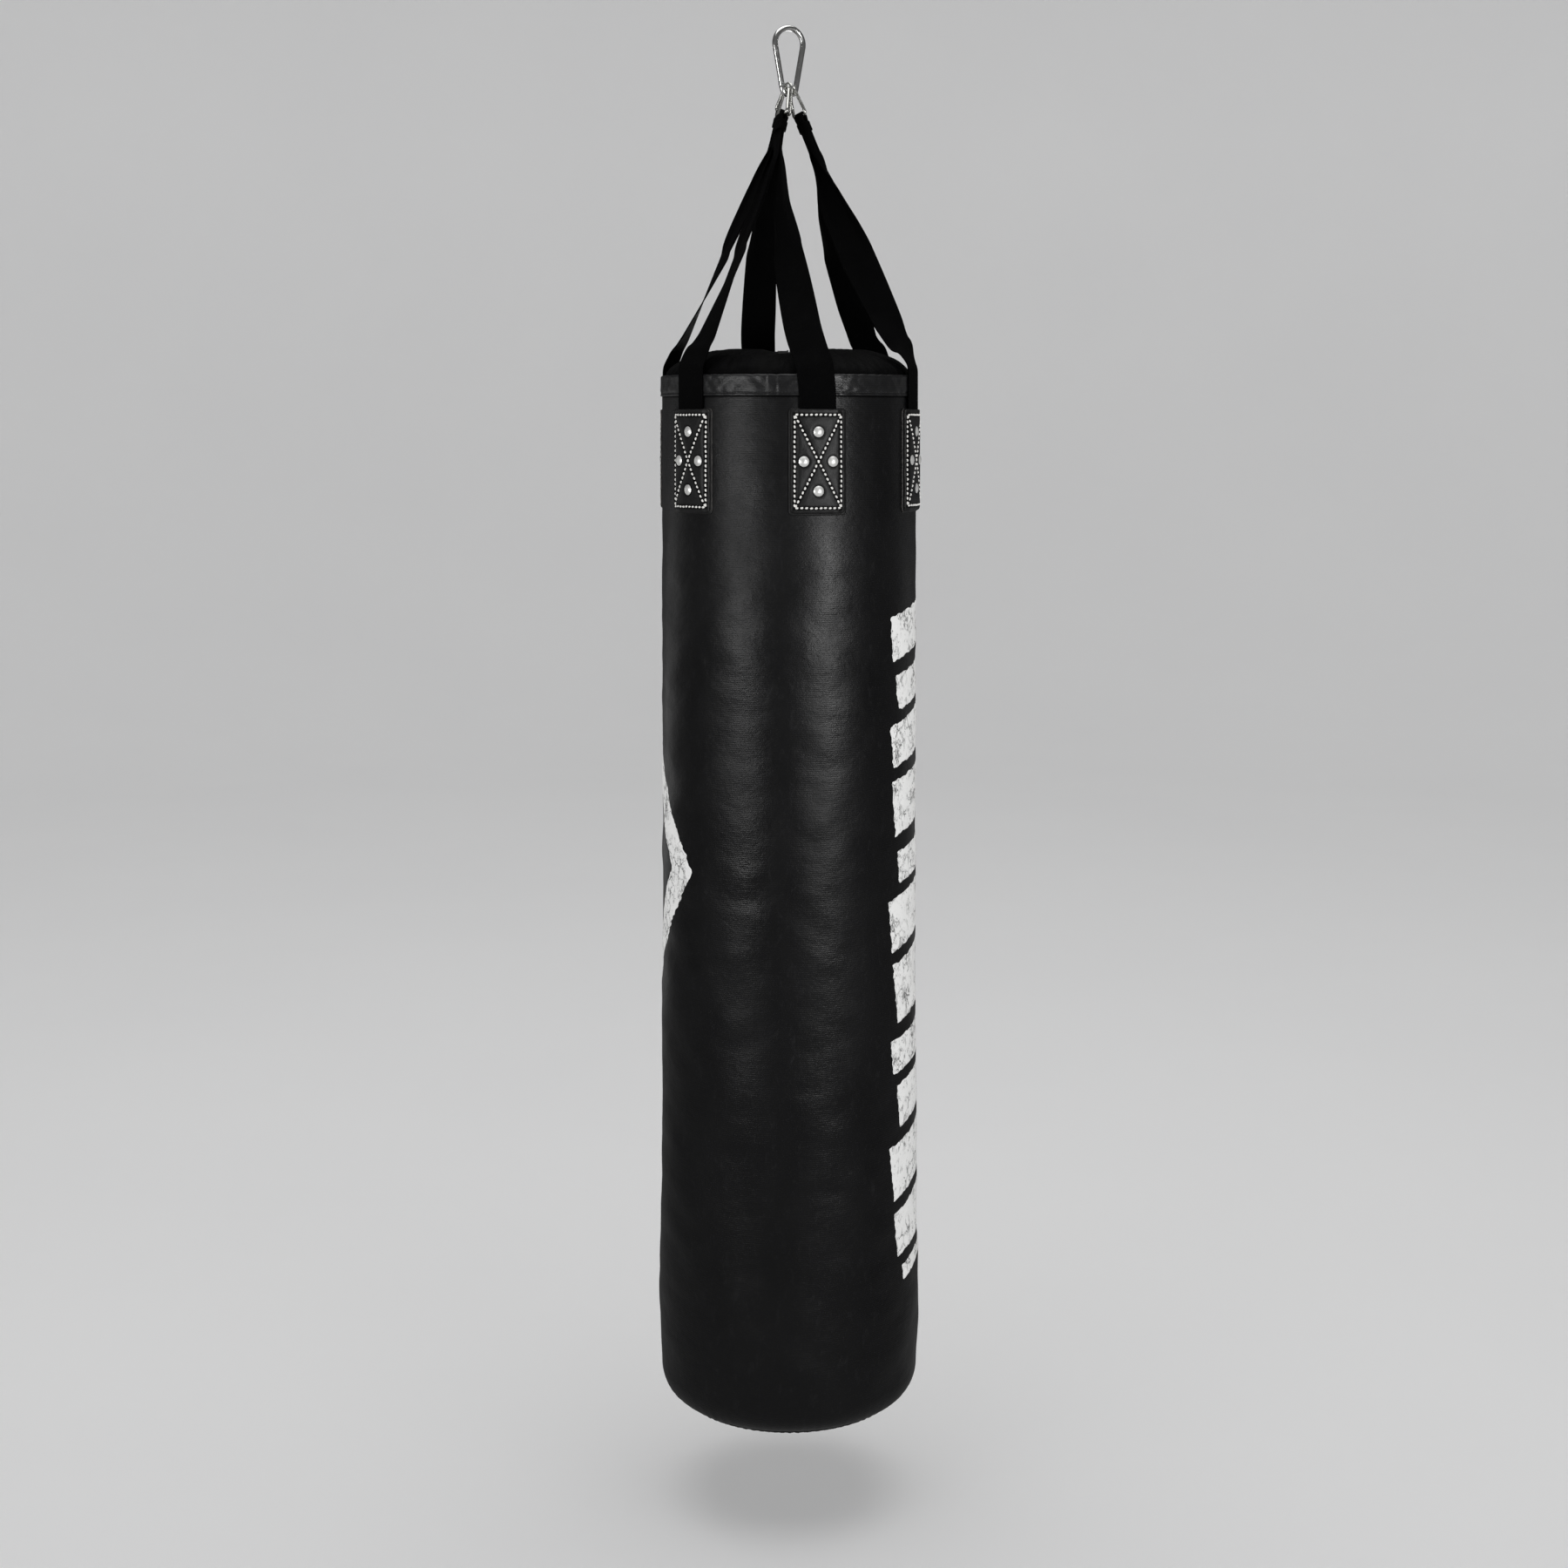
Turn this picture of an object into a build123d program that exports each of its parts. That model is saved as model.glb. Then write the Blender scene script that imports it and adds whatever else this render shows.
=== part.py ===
from build123d import *
from math import acos, asin, atan2, cos, degrees, radians, sin
import os

# Hanging heavy bag: a vinyl tube filled with textile, carried by three webbing loops on one snap hook.
# Millimetres, +Z up. The origin is the inside top of the snap hook, where a ceiling hook bears.
# +X is to the right and -Y is the front. The snap hook hangs turned by HOOK_TURN about Z.
# An angle round the bag is 0 at the front and grows towards +X.

# Bag tube
BAG_R = 178.0
SHELL_T = 1.5
BODY_H = 1418.0
HEM_TOP_Z = -485.0
HEM_H = 29.0
HEM_T = 1.9
BOTTOM_CORNER_R = 40.0
BOTTOM_CORNER_LIFT = 1.0
LAYER_GAP = 0.1

# Top cover
DOME_RISE = 34.0
DOME_CROWN_R = 1200.0
DOME_SHOULDER_R = 138.0
COVER_T = 2.0
COVER_EDGE_R = 174.3

# Bottom
PANEL_R = 146.0
PANEL_T = 2.5
WELT_R = 149.3
WELT_WIRE_R = 2.2
WELT_LIFT = 2.6
SHELL_END_R = 151.9

# Liner and filling
LINER_R = 174.1
LINER_T = 1.0
LINER_TOP_GAP = 2.0
FILL_GAP = 0.3
FILL_CROWN_GAP = 4.5

# Snap hook
HOOK_TURN = 30.0
ROD_R = 4.0
TOP_ARC_R = 22.5
BEND_R = 11.0
ARC_SPAN = 61.0
HINGE_UP = 6.0
PIN_UP = 48.0
GATE_END = 4.0
CHEEK_GAP = 1.6
TONGUE_HALF_T = 1.5
TONGUE_R = 3.9
TONGUE_HALF_W = 3.4
SHOULDER_GAP = 4.6
NOSE_GAP = 0.6
TOE = 5.5
SLOT_DEPTH = 8.0
RIVET_R = 1.5
RIVET_FLANGE_R = 2.5
RIVET_FLANGE_T = 0.9
PIN_R = 1.3
PIN_PLAY = 0.45
HOLE_GAP = 0.05
PRESS_GAP = 0.02

# Gate spring and plunger
BORE_R = 2.5
BORE_END = 33.0
PLUNGER_NOSE_R = 1.4
PLUNGER_R = 2.4
PLUNGER_TIP = 4.05
PLUNGER_SEAT = 8.3
PLUNGER_TOP = 12.0
SPRING_WIRE_R = 0.35
SPRING_R = 1.9
SPRING_PITCH = 2.0

# Rings
RING_WIRE_R = 2.2
RING_BASE = 34.0
RING_VERTEX_H = 68.0
RING_CORNER_R = 5.0
RING_APEX_R = 8.0

# Webbing
WEB_W = 50.0
WEB_T = 1.8
FOLD_W = 20.5
BUNDLE_L = 62.0
EYE_GAP = 0.4
STRAP_R = 180.3
TAIL_TOP_Z = -472.0
TAIL_MARGIN = 3.0
LEG_SECTIONS = 7
FOLD_OPEN = 0.25
KEEPER_H = 14.0
KEEPER_T = 1.6
KEEPER_DROP = 10.0

# Patches, rivets and burrs
PATCH_ANGLE = 12.3
PATCH_COUNT = 6
PATCH_W = 75.0
PATCH_H = 139.0
PATCH_T = 2.6
PATCH_TOP_Z = -532.0
PATCH_CORNER_R = 6.0
UNDERLAY_T = 1.9
UNDERLAY_MARGIN = 2.0
SHANK_R = 2.0
HEAD_R = 7.0
HEAD_H = 2.4
RIVET_DX = 19.7
RIVET_DZ = 39.3
BURR_R = 5.0
BURR_T = 1.1
BURR_SEAT_R = 176.2
SHANK_END_R = 174.6

# Zip over the crown of the top cover
ZIP_HALF_L = 122.0
ZIP_SLOT_HALF_W = 6.0
ZIP_REST = 112.0
TAPE_IN = 3.0
TAPE_OUT = 16.0
TAPE_T = 0.7
COIL_IN = 0.7
COIL_OUT = 2.8
COIL_LOW = -0.2
COIL_H = 2.2
SLIDER_L = 13.0
SLIDER_HALF_W = 5.0
SLIDER_TOP_T = 1.4
SLIDER_LOW_T = 1.2
SLIDER_LOW = -1.9
SLIDER_ROOF = 2.7
SLIDER_POST_HALF_W = 0.45
BAIL_HALF_L = 4.0
BAIL_T = 1.4
BAIL_H = 3.5
BAIL_HALF_W = 1.1
PULL_L = 24.0
PULL_HALF_W = 4.0
PULL_T = 1.6
PULL_PIN_LIFT = 1.2
PULL_HOLE_L = 6.5
PULL_HOLE_HALF_W = 1.5

# Reinforcing strip behind the back seam
SEAM_ANGLE = 180.0
SEAM_W = 24.0
SEAM_T = 1.4
SEAM_R = 174.5

# Derived levels
BOTTOM_Z = HEM_TOP_Z - BODY_H
HEM_LOW_Z = HEM_TOP_Z - HEM_H
CORNER_R_C = BAG_R - BOTTOM_CORNER_R
CORNER_Z_C = BOTTOM_Z + BOTTOM_CORNER_LIFT + BOTTOM_CORNER_R
CROWN_Z_C = HEM_TOP_Z + DOME_RISE - DOME_CROWN_R
CROWN_TURN = asin(DOME_SHOULDER_R / DOME_CROWN_R)
SHOULDER_R = (COVER_EDGE_R - DOME_SHOULDER_R) / (1 - sin(CROWN_TURN))
SHOULDER_R_C = COVER_EDGE_R - SHOULDER_R
SHOULDER_Z_C = CROWN_Z_C + DOME_CROWN_R * cos(CROWN_TURN) - SHOULDER_R * cos(CROWN_TURN)
TOP_ARC_Z = ROD_R - TOP_ARC_R
BEND_Z = TOP_ARC_Z - ARC_SPAN
TAPER = asin((TOP_ARC_R - BEND_R) / ARC_SPAN)
PATCH_Z = PATCH_TOP_Z - PATCH_H / 2
PATCH_R = STRAP_R + WEB_T + 2 * LAYER_GAP
CROWN_AXIS = Axis((0, 0, CROWN_Z_C), (1, 0, 0))

# Each loop, in the hook's own frame: the ring's apex from the centre of the hook's bend, the way the
# ring hangs, the way its bar lies, and the numbers of the two patches that the loop's legs run to.
LOOPS = {
    "front": {"apex": (-2.82, 1.15, -1.97), "hang": (-0.321, -0.203, -0.925), "bar": (-0.038, -0.973, 0.227)},
    "back": {"apex": (-0.69, -2.49, 4.94), "hang": (-0.07, 0.336, -0.939), "bar": (0.15, -0.927, -0.343)},
    "right": {"apex": (3.47, 1.01, 0.31), "hang": (0.273, -0.141, -0.952), "bar": (-0.018, -0.99, 0.141)},
}
LEGS = {"front": (0, 5), "back": (3, 4), "right": (1, 2)}


def patch_angle(index):
    return PATCH_ANGLE + index * 360 / PATCH_COUNT


def bag_plane(angle, radius, z):
    """Plane touching the bag at an angle and radius, facing outwards, with its y up."""
    turn = radians(angle)
    outwards = (sin(turn), -cos(turn), 0)
    return Plane(
        origin=(radius * sin(turn), -radius * cos(turn), z),
        x_dir=(cos(turn), sin(turn), 0),
        z_dir=outwards,
    )


def tube(r_in, r_out, z_low, z_high):
    height = z_high - z_low
    wall = Cylinder(r_out, height) - Cylinder(r_in, height)
    return Pos(0, 0, (z_low + z_high) / 2) * wall


def turned(outline):
    """Solid of revolution about Z from an outline of (radius, z) curves."""
    return revolve(make_face(Plane.XZ * outline), Axis.Z)


def dome_outline(depth):
    """Crown and shoulder arcs of the top cover, moved inwards by depth."""
    turn = degrees(CROWN_TURN)
    crown = CenterArc((0, CROWN_Z_C), DOME_CROWN_R - depth, 90 - turn, turn)
    shoulder = CenterArc((SHOULDER_R_C, SHOULDER_Z_C), SHOULDER_R - depth, 0, 90 - turn)
    return crown + shoulder


def corner_outline(radius, start, span):
    """Arc of the bag's bottom corner, from an angle below the horizontal."""
    return CenterArc((CORNER_R_C, CORNER_Z_C), radius, start, span)


def shell():
    inner_r = BOTTOM_CORNER_R - SHELL_T
    end = degrees(acos((SHELL_END_R - CORNER_R_C) / BOTTOM_CORNER_R))
    top_z = HEM_TOP_Z - HEM_T - LAYER_GAP
    outer = corner_outline(BOTTOM_CORNER_R, -end, end)
    inner = corner_outline(inner_r, -end, end)
    outline = outer + inner
    outline += Line(outer @ 1, (BAG_R, top_z))
    outline += Line((BAG_R, top_z), (BAG_R - SHELL_T, top_z))
    outline += Line((BAG_R - SHELL_T, top_z), inner @ 1)
    outline += Line(inner @ 0, outer @ 0)
    return drilled(turned(outline))


def hem_band():
    inner_r = BAG_R - SHELL_T - LAYER_GAP - HEM_T
    outer_r = BAG_R + LAYER_GAP + HEM_T
    band = tube(inner_r, outer_r, HEM_LOW_Z, HEM_TOP_Z)
    band -= tube(inner_r + HEM_T, outer_r - HEM_T, HEM_LOW_Z, HEM_TOP_Z - HEM_T)
    rim = band.edges().filter_by(GeomType.CIRCLE).group_by(Axis.Z)[-1]
    return fillet(rim, HEM_T / 2)


def top_cover():
    outer = dome_outline(0)
    inner = dome_outline(COVER_T)
    inner_r = COVER_EDGE_R - COVER_T
    outline = outer + inner
    outline += Line((COVER_EDGE_R, SHOULDER_Z_C), (COVER_EDGE_R, HEM_LOW_Z))
    outline += Line((COVER_EDGE_R, HEM_LOW_Z), (inner_r, HEM_LOW_Z))
    outline += Line((inner_r, HEM_LOW_Z), (inner_r, SHOULDER_Z_C))
    crown_z = CROWN_Z_C + DOME_CROWN_R
    outline += Line((0, crown_z - COVER_T), (0, crown_z))
    slot = Box(2 * ZIP_SLOT_HALF_W, 2 * (ZIP_HALF_L + COVER_T), DOME_RISE)
    return turned(outline) - Pos(0, 0, crown_z) * slot


def bottom_panel():
    disc = Pos(0, 0, BOTTOM_Z + PANEL_T / 2) * Cylinder(PANEL_R, PANEL_T)
    return fillet(disc.edges(), PANEL_T / 3)


def bottom_welt():
    return Pos(0, 0, BOTTOM_Z + WELT_LIFT) * Torus(WELT_R, WELT_WIRE_R)


def liner():
    outer_corner = LINER_R - CORNER_R_C
    inner_corner = outer_corner - LINER_T
    top_z = HEM_LOW_Z - LINER_TOP_GAP
    outer = corner_outline(outer_corner, -90, 90)
    inner = corner_outline(inner_corner, -90, 90)
    outline = outer + inner
    outline += Line(outer @ 1, (LINER_R, top_z))
    outline += Line((LINER_R, top_z), (LINER_R - LINER_T, top_z))
    outline += Line((LINER_R - LINER_T, top_z), inner @ 1)
    outline += Line(inner @ 0, (0, CORNER_Z_C - inner_corner))
    outline += Line((0, CORNER_Z_C - inner_corner), (0, CORNER_Z_C - outer_corner))
    outline += Line((0, CORNER_Z_C - outer_corner), outer @ 0)
    return turned(outline)


def filling():
    side_r = LINER_R - LINER_T - FILL_GAP
    corner = side_r - CORNER_R_C
    neck_r = COVER_EDGE_R - FILL_CROWN_GAP
    neck_z = HEM_LOW_Z - LINER_TOP_GAP
    side = corner_outline(corner, -90, 90)
    outline = dome_outline(FILL_CROWN_GAP) + side
    outline += Line((neck_r, SHOULDER_Z_C), (neck_r, neck_z))
    outline += Line((neck_r, neck_z), (side_r, neck_z - (side_r - neck_r)))
    outline += Line((side_r, neck_z - (side_r - neck_r)), side @ 1)
    outline += Line(side @ 0, (0, CORNER_Z_C - corner))
    outline += Line((0, CORNER_Z_C - corner), (0, CROWN_Z_C + DOME_CROWN_R - FILL_CROWN_GAP))
    return turned(outline)


def seam_strip():
    low_z = CORNER_Z_C
    high_z = HEM_LOW_Z - LINER_TOP_GAP
    slab = Rectangle(SEAM_W, high_z - low_z)
    block = extrude(bag_plane(SEAM_ANGLE, SEAM_R - SEAM_T, (low_z + high_z) / 2) * slab, 4 * SEAM_T)
    return block & tube(SEAM_R, SEAM_R + SEAM_T, low_z, high_z)


def rivet_places(index):
    """Angle and height of the four rivets of one patch."""
    swing = degrees(RIVET_DX / PATCH_R)
    angle = patch_angle(index)
    return [
        (angle, PATCH_Z + RIVET_DZ),
        (angle - swing, PATCH_Z),
        (angle + swing, PATCH_Z),
        (angle, PATCH_Z - RIVET_DZ),
    ]


def drilled(layer, indices=range(PATCH_COUNT)):
    """Rivet holes through one layer."""
    for index in indices:
        for angle, z in rivet_places(index):
            hole = bag_plane(angle, SHANK_END_R, z) * Cylinder(
                SHANK_R + HOLE_GAP, PATCH_R, align=(Align.CENTER, Align.CENTER, Align.MIN)
            )
            layer -= hole
    return layer


def leather(index, width, height, r_in, thickness):
    """Round-cornered leather piece wrapped on the bag at one patch's place."""
    slab = RectangleRounded(width, height, PATCH_CORNER_R)
    block = extrude(bag_plane(patch_angle(index), CORNER_R_C, PATCH_Z) * slab, PATCH_R)
    wrap = tube(r_in, r_in + thickness, PATCH_Z - height / 2, PATCH_Z + height / 2)
    return drilled(block & wrap, [index])


def patch(index):
    return leather(index, PATCH_W, PATCH_H, PATCH_R, PATCH_T)


def underlay(index):
    width = PATCH_W + 2 * UNDERLAY_MARGIN
    height = PATCH_H + 2 * UNDERLAY_MARGIN
    return leather(index, width, height, BAG_R + LAYER_GAP, UNDERLAY_T)


def rivets():
    """All rivets: a domed head on the patch and a shank through to the burr."""
    head_seat_r = PATCH_R + PATCH_T + HOLE_GAP
    ball_r = (HEAD_R**2 + HEAD_H**2) / (2 * HEAD_H)
    upwards = (Align.CENTER, Align.CENTER, Align.MIN)
    head = Pos(0, 0, HEAD_H - ball_r) * Sphere(ball_r) & Cylinder(HEAD_R, HEAD_H, align=upwards)
    shank = Cylinder(SHANK_R, head_seat_r - SHANK_END_R, align=upwards)
    rivet = Pos(0, 0, head_seat_r - SHANK_END_R) * head + shank
    places = [place for index in range(PATCH_COUNT) for place in rivet_places(index)]
    return Compound([bag_plane(angle, SHANK_END_R, z) * rivet for angle, z in places])


def burrs():
    ring = Cylinder(BURR_R, BURR_T) - Cylinder(SHANK_R + HOLE_GAP, BURR_T)
    places = [place for index in range(PATCH_COUNT) for place in rivet_places(index)]
    return Compound([bag_plane(angle, BURR_SEAT_R - BURR_T / 2, z) * ring for angle, z in places])


def hooked(piece):
    """Turn a piece from the snap hook's own frame, in the XZ plane, to where the hook hangs."""
    return Rot(0, 0, HOOK_TURN) * piece


def hook_vector(values):
    return Vector(*values).rotate(Axis.Z, HOOK_TURN)


def gate_plane():
    """Sketch plane of the gate: origin on the hinge, x inwards, y up along the gate."""
    along = BEND_R * sin(TAPER)
    foot = Vector(-BEND_R * cos(TAPER), 0, BEND_Z - along)
    up = Vector(-sin(TAPER), 0, cos(TAPER))
    return Plane(origin=foot + up * HINGE_UP, x_dir=(cos(TAPER), 0, sin(TAPER)), z_dir=(0, -1, 0))


def hook_path():
    """Centre line of the rod from the nose, over the top, down the spine and round to the hinge."""
    gate = gate_plane()
    turn = degrees(TAPER)
    top = CenterArc((0, TOP_ARC_Z), TOP_ARC_R, -turn, 180 + 2 * turn)
    bend = CenterArc((0, BEND_Z), BEND_R, 180 + turn, 180 - 2 * turn)
    arcs = Plane.XZ * (top + bend + Line(bend @ 1, top @ 0))
    nose = gate.from_local_coords((0, PIN_UP + GATE_END + NOSE_GAP))
    heel = gate.from_local_coords((0, -SHOULDER_GAP))
    left_top = (Plane.XZ * top) @ 1
    left_low = (Plane.XZ * bend) @ 0
    return Wire([*arcs.edges(), Line(nose, left_top), Line(heel, left_low)])


def carabiner_body():
    path = hook_path()
    start = Plane(origin=path @ 0, z_dir=path % 0)
    rod = sweep(start * Circle(ROD_R), path=path)
    gate = gate_plane()
    heel = Circle(TONGUE_R) + Pos(0, -SHOULDER_GAP / 2) * Rectangle(2 * TONGUE_R, SHOULDER_GAP + NOSE_GAP)
    heel -= Circle(RIVET_R + PRESS_GAP)
    toe_low = PIN_UP - TOE
    toe_high = PIN_UP + GATE_END + 2 * NOSE_GAP
    nose = Pos(0, (toe_low + toe_high) / 2) * Rectangle(2 * TONGUE_HALF_W, toe_high - toe_low)
    play = PIN_R + PIN_PLAY
    nose -= Pos(0, PIN_UP) * Circle(play)
    nose -= Pos(TONGUE_HALF_W, PIN_UP) * Rectangle(2 * TONGUE_HALF_W, 2 * play)
    tongues = extrude(gate * heel, TONGUE_HALF_T, both=True) + extrude(gate * nose, TONGUE_HALF_T, both=True)
    return hooked(rod + tongues)


def carabiner_gate():
    gate = gate_plane()
    top = PIN_UP + GATE_END
    outline = Circle(ROD_R) + Pos(0, top / 2) * Rectangle(2 * ROD_R, top)
    rod = extrude(gate * outline, ROD_R, both=True)
    rod &= gate * Pos(0, top / 2) * Rot(90, 0, 0) * Cylinder(ROD_R, 2 * top)
    low_slot = Pos(0, SLOT_DEPTH / 2 - ROD_R) * Box(4 * ROD_R, SLOT_DEPTH + 2 * ROD_R, 2 * CHEEK_GAP)
    high_slot = Pos(0, PIN_UP) * Box(4 * ROD_R, 2 * SLOT_DEPTH, 2 * CHEEK_GAP)
    bore = Pos(0, BORE_END / 2) * Rot(90, 0, 0) * Cylinder(BORE_R, BORE_END)
    hinge_hole = Cylinder(RIVET_R + HOLE_GAP, 4 * ROD_R)
    pin_hole = Pos(0, PIN_UP) * Cylinder(PIN_R + PRESS_GAP, 4 * ROD_R)
    return hooked(rod - gate * (low_slot + high_slot + bore + hinge_hole + pin_hole))


def gate_rivet():
    """Rivet through the gate's fork, with a rounded flange at each end."""
    seat_z = ROD_R + HOLE_GAP
    flange = Pos(0, 0, seat_z + RIVET_FLANGE_T / 2) * Cylinder(RIVET_FLANGE_R, RIVET_FLANGE_T)
    flange = fillet(flange.edges().group_by(Axis.Z)[-1], RIVET_FLANGE_T / 2)
    rivet = Cylinder(RIVET_R, 2 * seat_z) + flange + mirror(flange, Plane.XY)
    return hooked(gate_plane() * rivet)


def latch_pin():
    pin = Cylinder(PIN_R, 2 * ROD_R - HOLE_GAP)
    return hooked(gate_plane() * Pos(0, PIN_UP) * fillet(pin.edges(), PIN_R / 4))


def along_gate(low, high, radius):
    """Round piece on the gate's centre line between two heights."""
    return Pos(0, (low + high) / 2) * Rot(90, 0, 0) * Cylinder(radius, high - low)


def plunger():
    nose = along_gate(PLUNGER_TIP, PLUNGER_SEAT, PLUNGER_NOSE_R)
    body = along_gate(PLUNGER_SEAT, PLUNGER_TOP, PLUNGER_R)
    return hooked(gate_plane() * (nose + body))


def gate_spring():
    low = PLUNGER_TOP + 2 * SPRING_WIRE_R
    high = BORE_END - 2 * SPRING_WIRE_R
    helix = Helix(SPRING_PITCH, high - low, SPRING_R)
    start = Plane(origin=helix @ 0, z_dir=helix % 0)
    coil = sweep(start * Circle(SPRING_WIRE_R), path=helix, is_frenet=True)
    return hooked(gate_plane() * Pos(0, low) * Rot(-90, 0, 0) * coil)


def ring_place(loop):
    """Apex, bar centre, bar direction and hanging direction of one ring, where it hangs."""
    bar = hook_vector(loop["bar"]).normalized()
    hang = hook_vector(loop["hang"])
    hang = (hang - bar * bar.dot(hang)).normalized()
    apex = hook_vector(loop["apex"]) + Vector(0, 0, BEND_Z)
    apex_turn = atan2(RING_BASE / 2, RING_VERTEX_H)
    height = RING_VERTEX_H - RING_APEX_R / sin(apex_turn) + RING_APEX_R
    return apex + hang * height, bar, hang


def ring(loop):
    centre, bar, hang = ring_place(loop)
    flat = Plane(origin=centre, x_dir=bar, z_dir=bar.cross(hang * -1))
    half = RING_BASE / 2
    path = FilletPolyline(
        (0, 0),
        (half, 0),
        (0, RING_VERTEX_H),
        (-half, 0),
        (0, 0),
        radius=(0, RING_CORNER_R, RING_APEX_R, RING_CORNER_R),
    )
    start = Plane(origin=path @ 0, z_dir=path % 0)
    return flat * sweep(start * Circle(RING_WIRE_R), path=path)


def loop_plane(name):
    """Plane on the ring's bar: x along the bar, z down the folded webbing, y from one leg to the other."""
    centre, bar, _ = ring_place(LOOPS[name])
    ends = [bag_plane(patch_angle(index), STRAP_R, TAIL_TOP_Z).origin for index in LEGS[name]]
    down = (ends[0] + ends[1]) * 0.5 - centre
    down = (down - bar * bar.dot(down)).normalized()
    return Plane(origin=centre, x_dir=bar, z_dir=down)


def leg_section(start, end, first, last, share):
    """Face of one leg at a share of its length: it twists from the fold to the bag and opens up."""
    opening = min(1.0, share / FOLD_OPEN)
    width = FOLD_W + (WEB_W - FOLD_W) * opening
    thickness = WEB_T * (2 - opening)
    down = (end - start).normalized()
    across = first * (1 - share) + last * share
    across = (across - down * across.dot(down)).normalized()
    return Plane(origin=start + (end - start) * share, x_dir=across, z_dir=down) * Rectangle(width, thickness)


def strap_leg(fold, index):
    """One leg of webbing from the folded part to the bag's rim, and its tail down to the patch."""
    tail_top = bag_plane(patch_angle(index), STRAP_R + WEB_T / 2, TAIL_TOP_Z - WEB_T)
    side = 1 if fold.to_local_coords(tail_top.origin).Y > 0 else -1
    start = fold.from_local_coords((0, side * WEB_T * 0.9, BUNDLE_L - WEB_T))
    last = tail_top.x_dir
    if last.dot(fold.x_dir) < 0:
        last = last * -1
    shares = [step / (LEG_SECTIONS - 1) for step in range(LEG_SECTIONS)]
    sections = [leg_section(start, tail_top.origin, fold.x_dir, last, share) for share in shares]
    low_z = PATCH_Z - PATCH_H / 2 + TAIL_MARGIN
    slab = Rectangle(WEB_W, TAIL_TOP_Z - low_z)
    middle = (TAIL_TOP_Z + low_z) / 2
    block = extrude(bag_plane(patch_angle(index), CORNER_R_C, middle) * slab, PATCH_R)
    tail = block & tube(STRAP_R, STRAP_R + WEB_T, low_z, TAIL_TOP_Z)
    return loft(sections, ruled=True) + drilled(tail, [index])


def strap(name):
    """One webbing loop: an eye round the ring's bar, the folded part below it, and two legs."""
    fold = loop_plane(name)
    eye_r = RING_WIRE_R + EYE_GAP
    eye = Rot(0, 90, 0) * Cylinder(eye_r + 2 * WEB_T, FOLD_W)
    bundle = Pos(0, 0, BUNDLE_L / 2) * Box(FOLD_W, 4 * WEB_T, BUNDLE_L)
    hole = Rot(0, 90, 0) * Cylinder(eye_r, 2 * FOLD_W)
    body = fold * (eye + bundle - hole)
    for index in LEGS[name]:
        body += strap_leg(fold, index)
    return body


def keeper(name):
    """Webbing band sewn round the folded part of a loop."""
    inner = Box(FOLD_W + 2 * LAYER_GAP, 4 * WEB_T + 2 * LAYER_GAP, KEEPER_H)
    grow = 2 * (LAYER_GAP + KEEPER_T)
    outer = Box(FOLD_W + grow, 4 * WEB_T + grow, KEEPER_H)
    outer = fillet(outer.edges().filter_by(Axis.Z), KEEPER_T)
    return loop_plane(name) * Pos(0, 0, KEEPER_DROP + KEEPER_H / 2) * (outer - inner)


def crown_strip(x_low, x_high, lift, height, half_length):
    """Strip that follows the crown's arc over the zip, at a lift above the cover."""
    r_low = DOME_CROWN_R + lift
    middle = Pos((x_low + x_high) / 2, CROWN_Z_C + r_low + height / 2)
    face = Plane.XZ * (middle * Rectangle(x_high - x_low, height))
    turn = 2 * degrees(half_length / DOME_CROWN_R)
    strip = revolve(face, CROWN_AXIS, turn)
    return strip.rotate(CROWN_AXIS, -turn / 2)


def both_sides(x_low, x_high, lift, height, half_length):
    left = crown_strip(-x_high, -x_low, lift, height, half_length)
    right = crown_strip(x_low, x_high, lift, height, half_length)
    return Compound([left, right])


def zip_tapes():
    return both_sides(TAPE_IN, TAPE_OUT, LAYER_GAP, TAPE_T, ZIP_HALF_L + COVER_T)


def zip_coils():
    return both_sides(COIL_IN, COIL_OUT, COIL_LOW, COIL_H - COIL_LOW, ZIP_HALF_L)


def on_crown(piece):
    """Move a piece from the cover's crown to the closed end of the zip."""
    placed = Pos(0, 0, CROWN_Z_C + DOME_CROWN_R) * piece
    return placed.rotate(CROWN_AXIS, -degrees(ZIP_REST / DOME_CROWN_R))


def slab(width, length, z_low, z_high):
    return Pos(0, 0, (z_low + z_high) / 2) * Box(width, length, z_high - z_low)


def zip_slider():
    roof = SLIDER_ROOF + SLIDER_TOP_T
    width = 2 * SLIDER_HALF_W
    top = slab(width, SLIDER_L, SLIDER_ROOF, roof)
    low = slab(width, SLIDER_L, SLIDER_LOW, SLIDER_LOW + SLIDER_LOW_T)
    top = fillet(top.edges().filter_by(Axis.Z), SLIDER_TOP_T)
    low = fillet(low.edges().filter_by(Axis.Z), SLIDER_TOP_T)
    post = slab(2 * SLIDER_POST_HALF_W, SLIDER_L / 2, SLIDER_LOW, roof)
    bail = slab(2 * BAIL_HALF_W, 2 * BAIL_HALF_L, roof, roof + BAIL_H)
    bail -= slab(4 * BAIL_HALF_W, 2 * (BAIL_HALF_L - BAIL_T), roof, roof + BAIL_H - BAIL_T)
    return on_crown(top + low + post + bail)


def zip_pull():
    lift = SLIDER_ROOF + SLIDER_TOP_T + PULL_PIN_LIFT
    tab = Rectangle(2 * PULL_HALF_W, PULL_L) - Pos(0, -PULL_L / 2) * Rectangle(
        2 * PULL_HOLE_HALF_W, 2 * PULL_HOLE_L
    )
    tab = Pos(0, PULL_L / 2) * extrude(tab, PULL_T / 2, both=True)
    pin = Rot(0, 90, 0) * Cylinder(PULL_T / 2, 2 * PULL_HALF_W)
    return on_crown(Pos(0, 0, lift) * (tab + pin))


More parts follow.
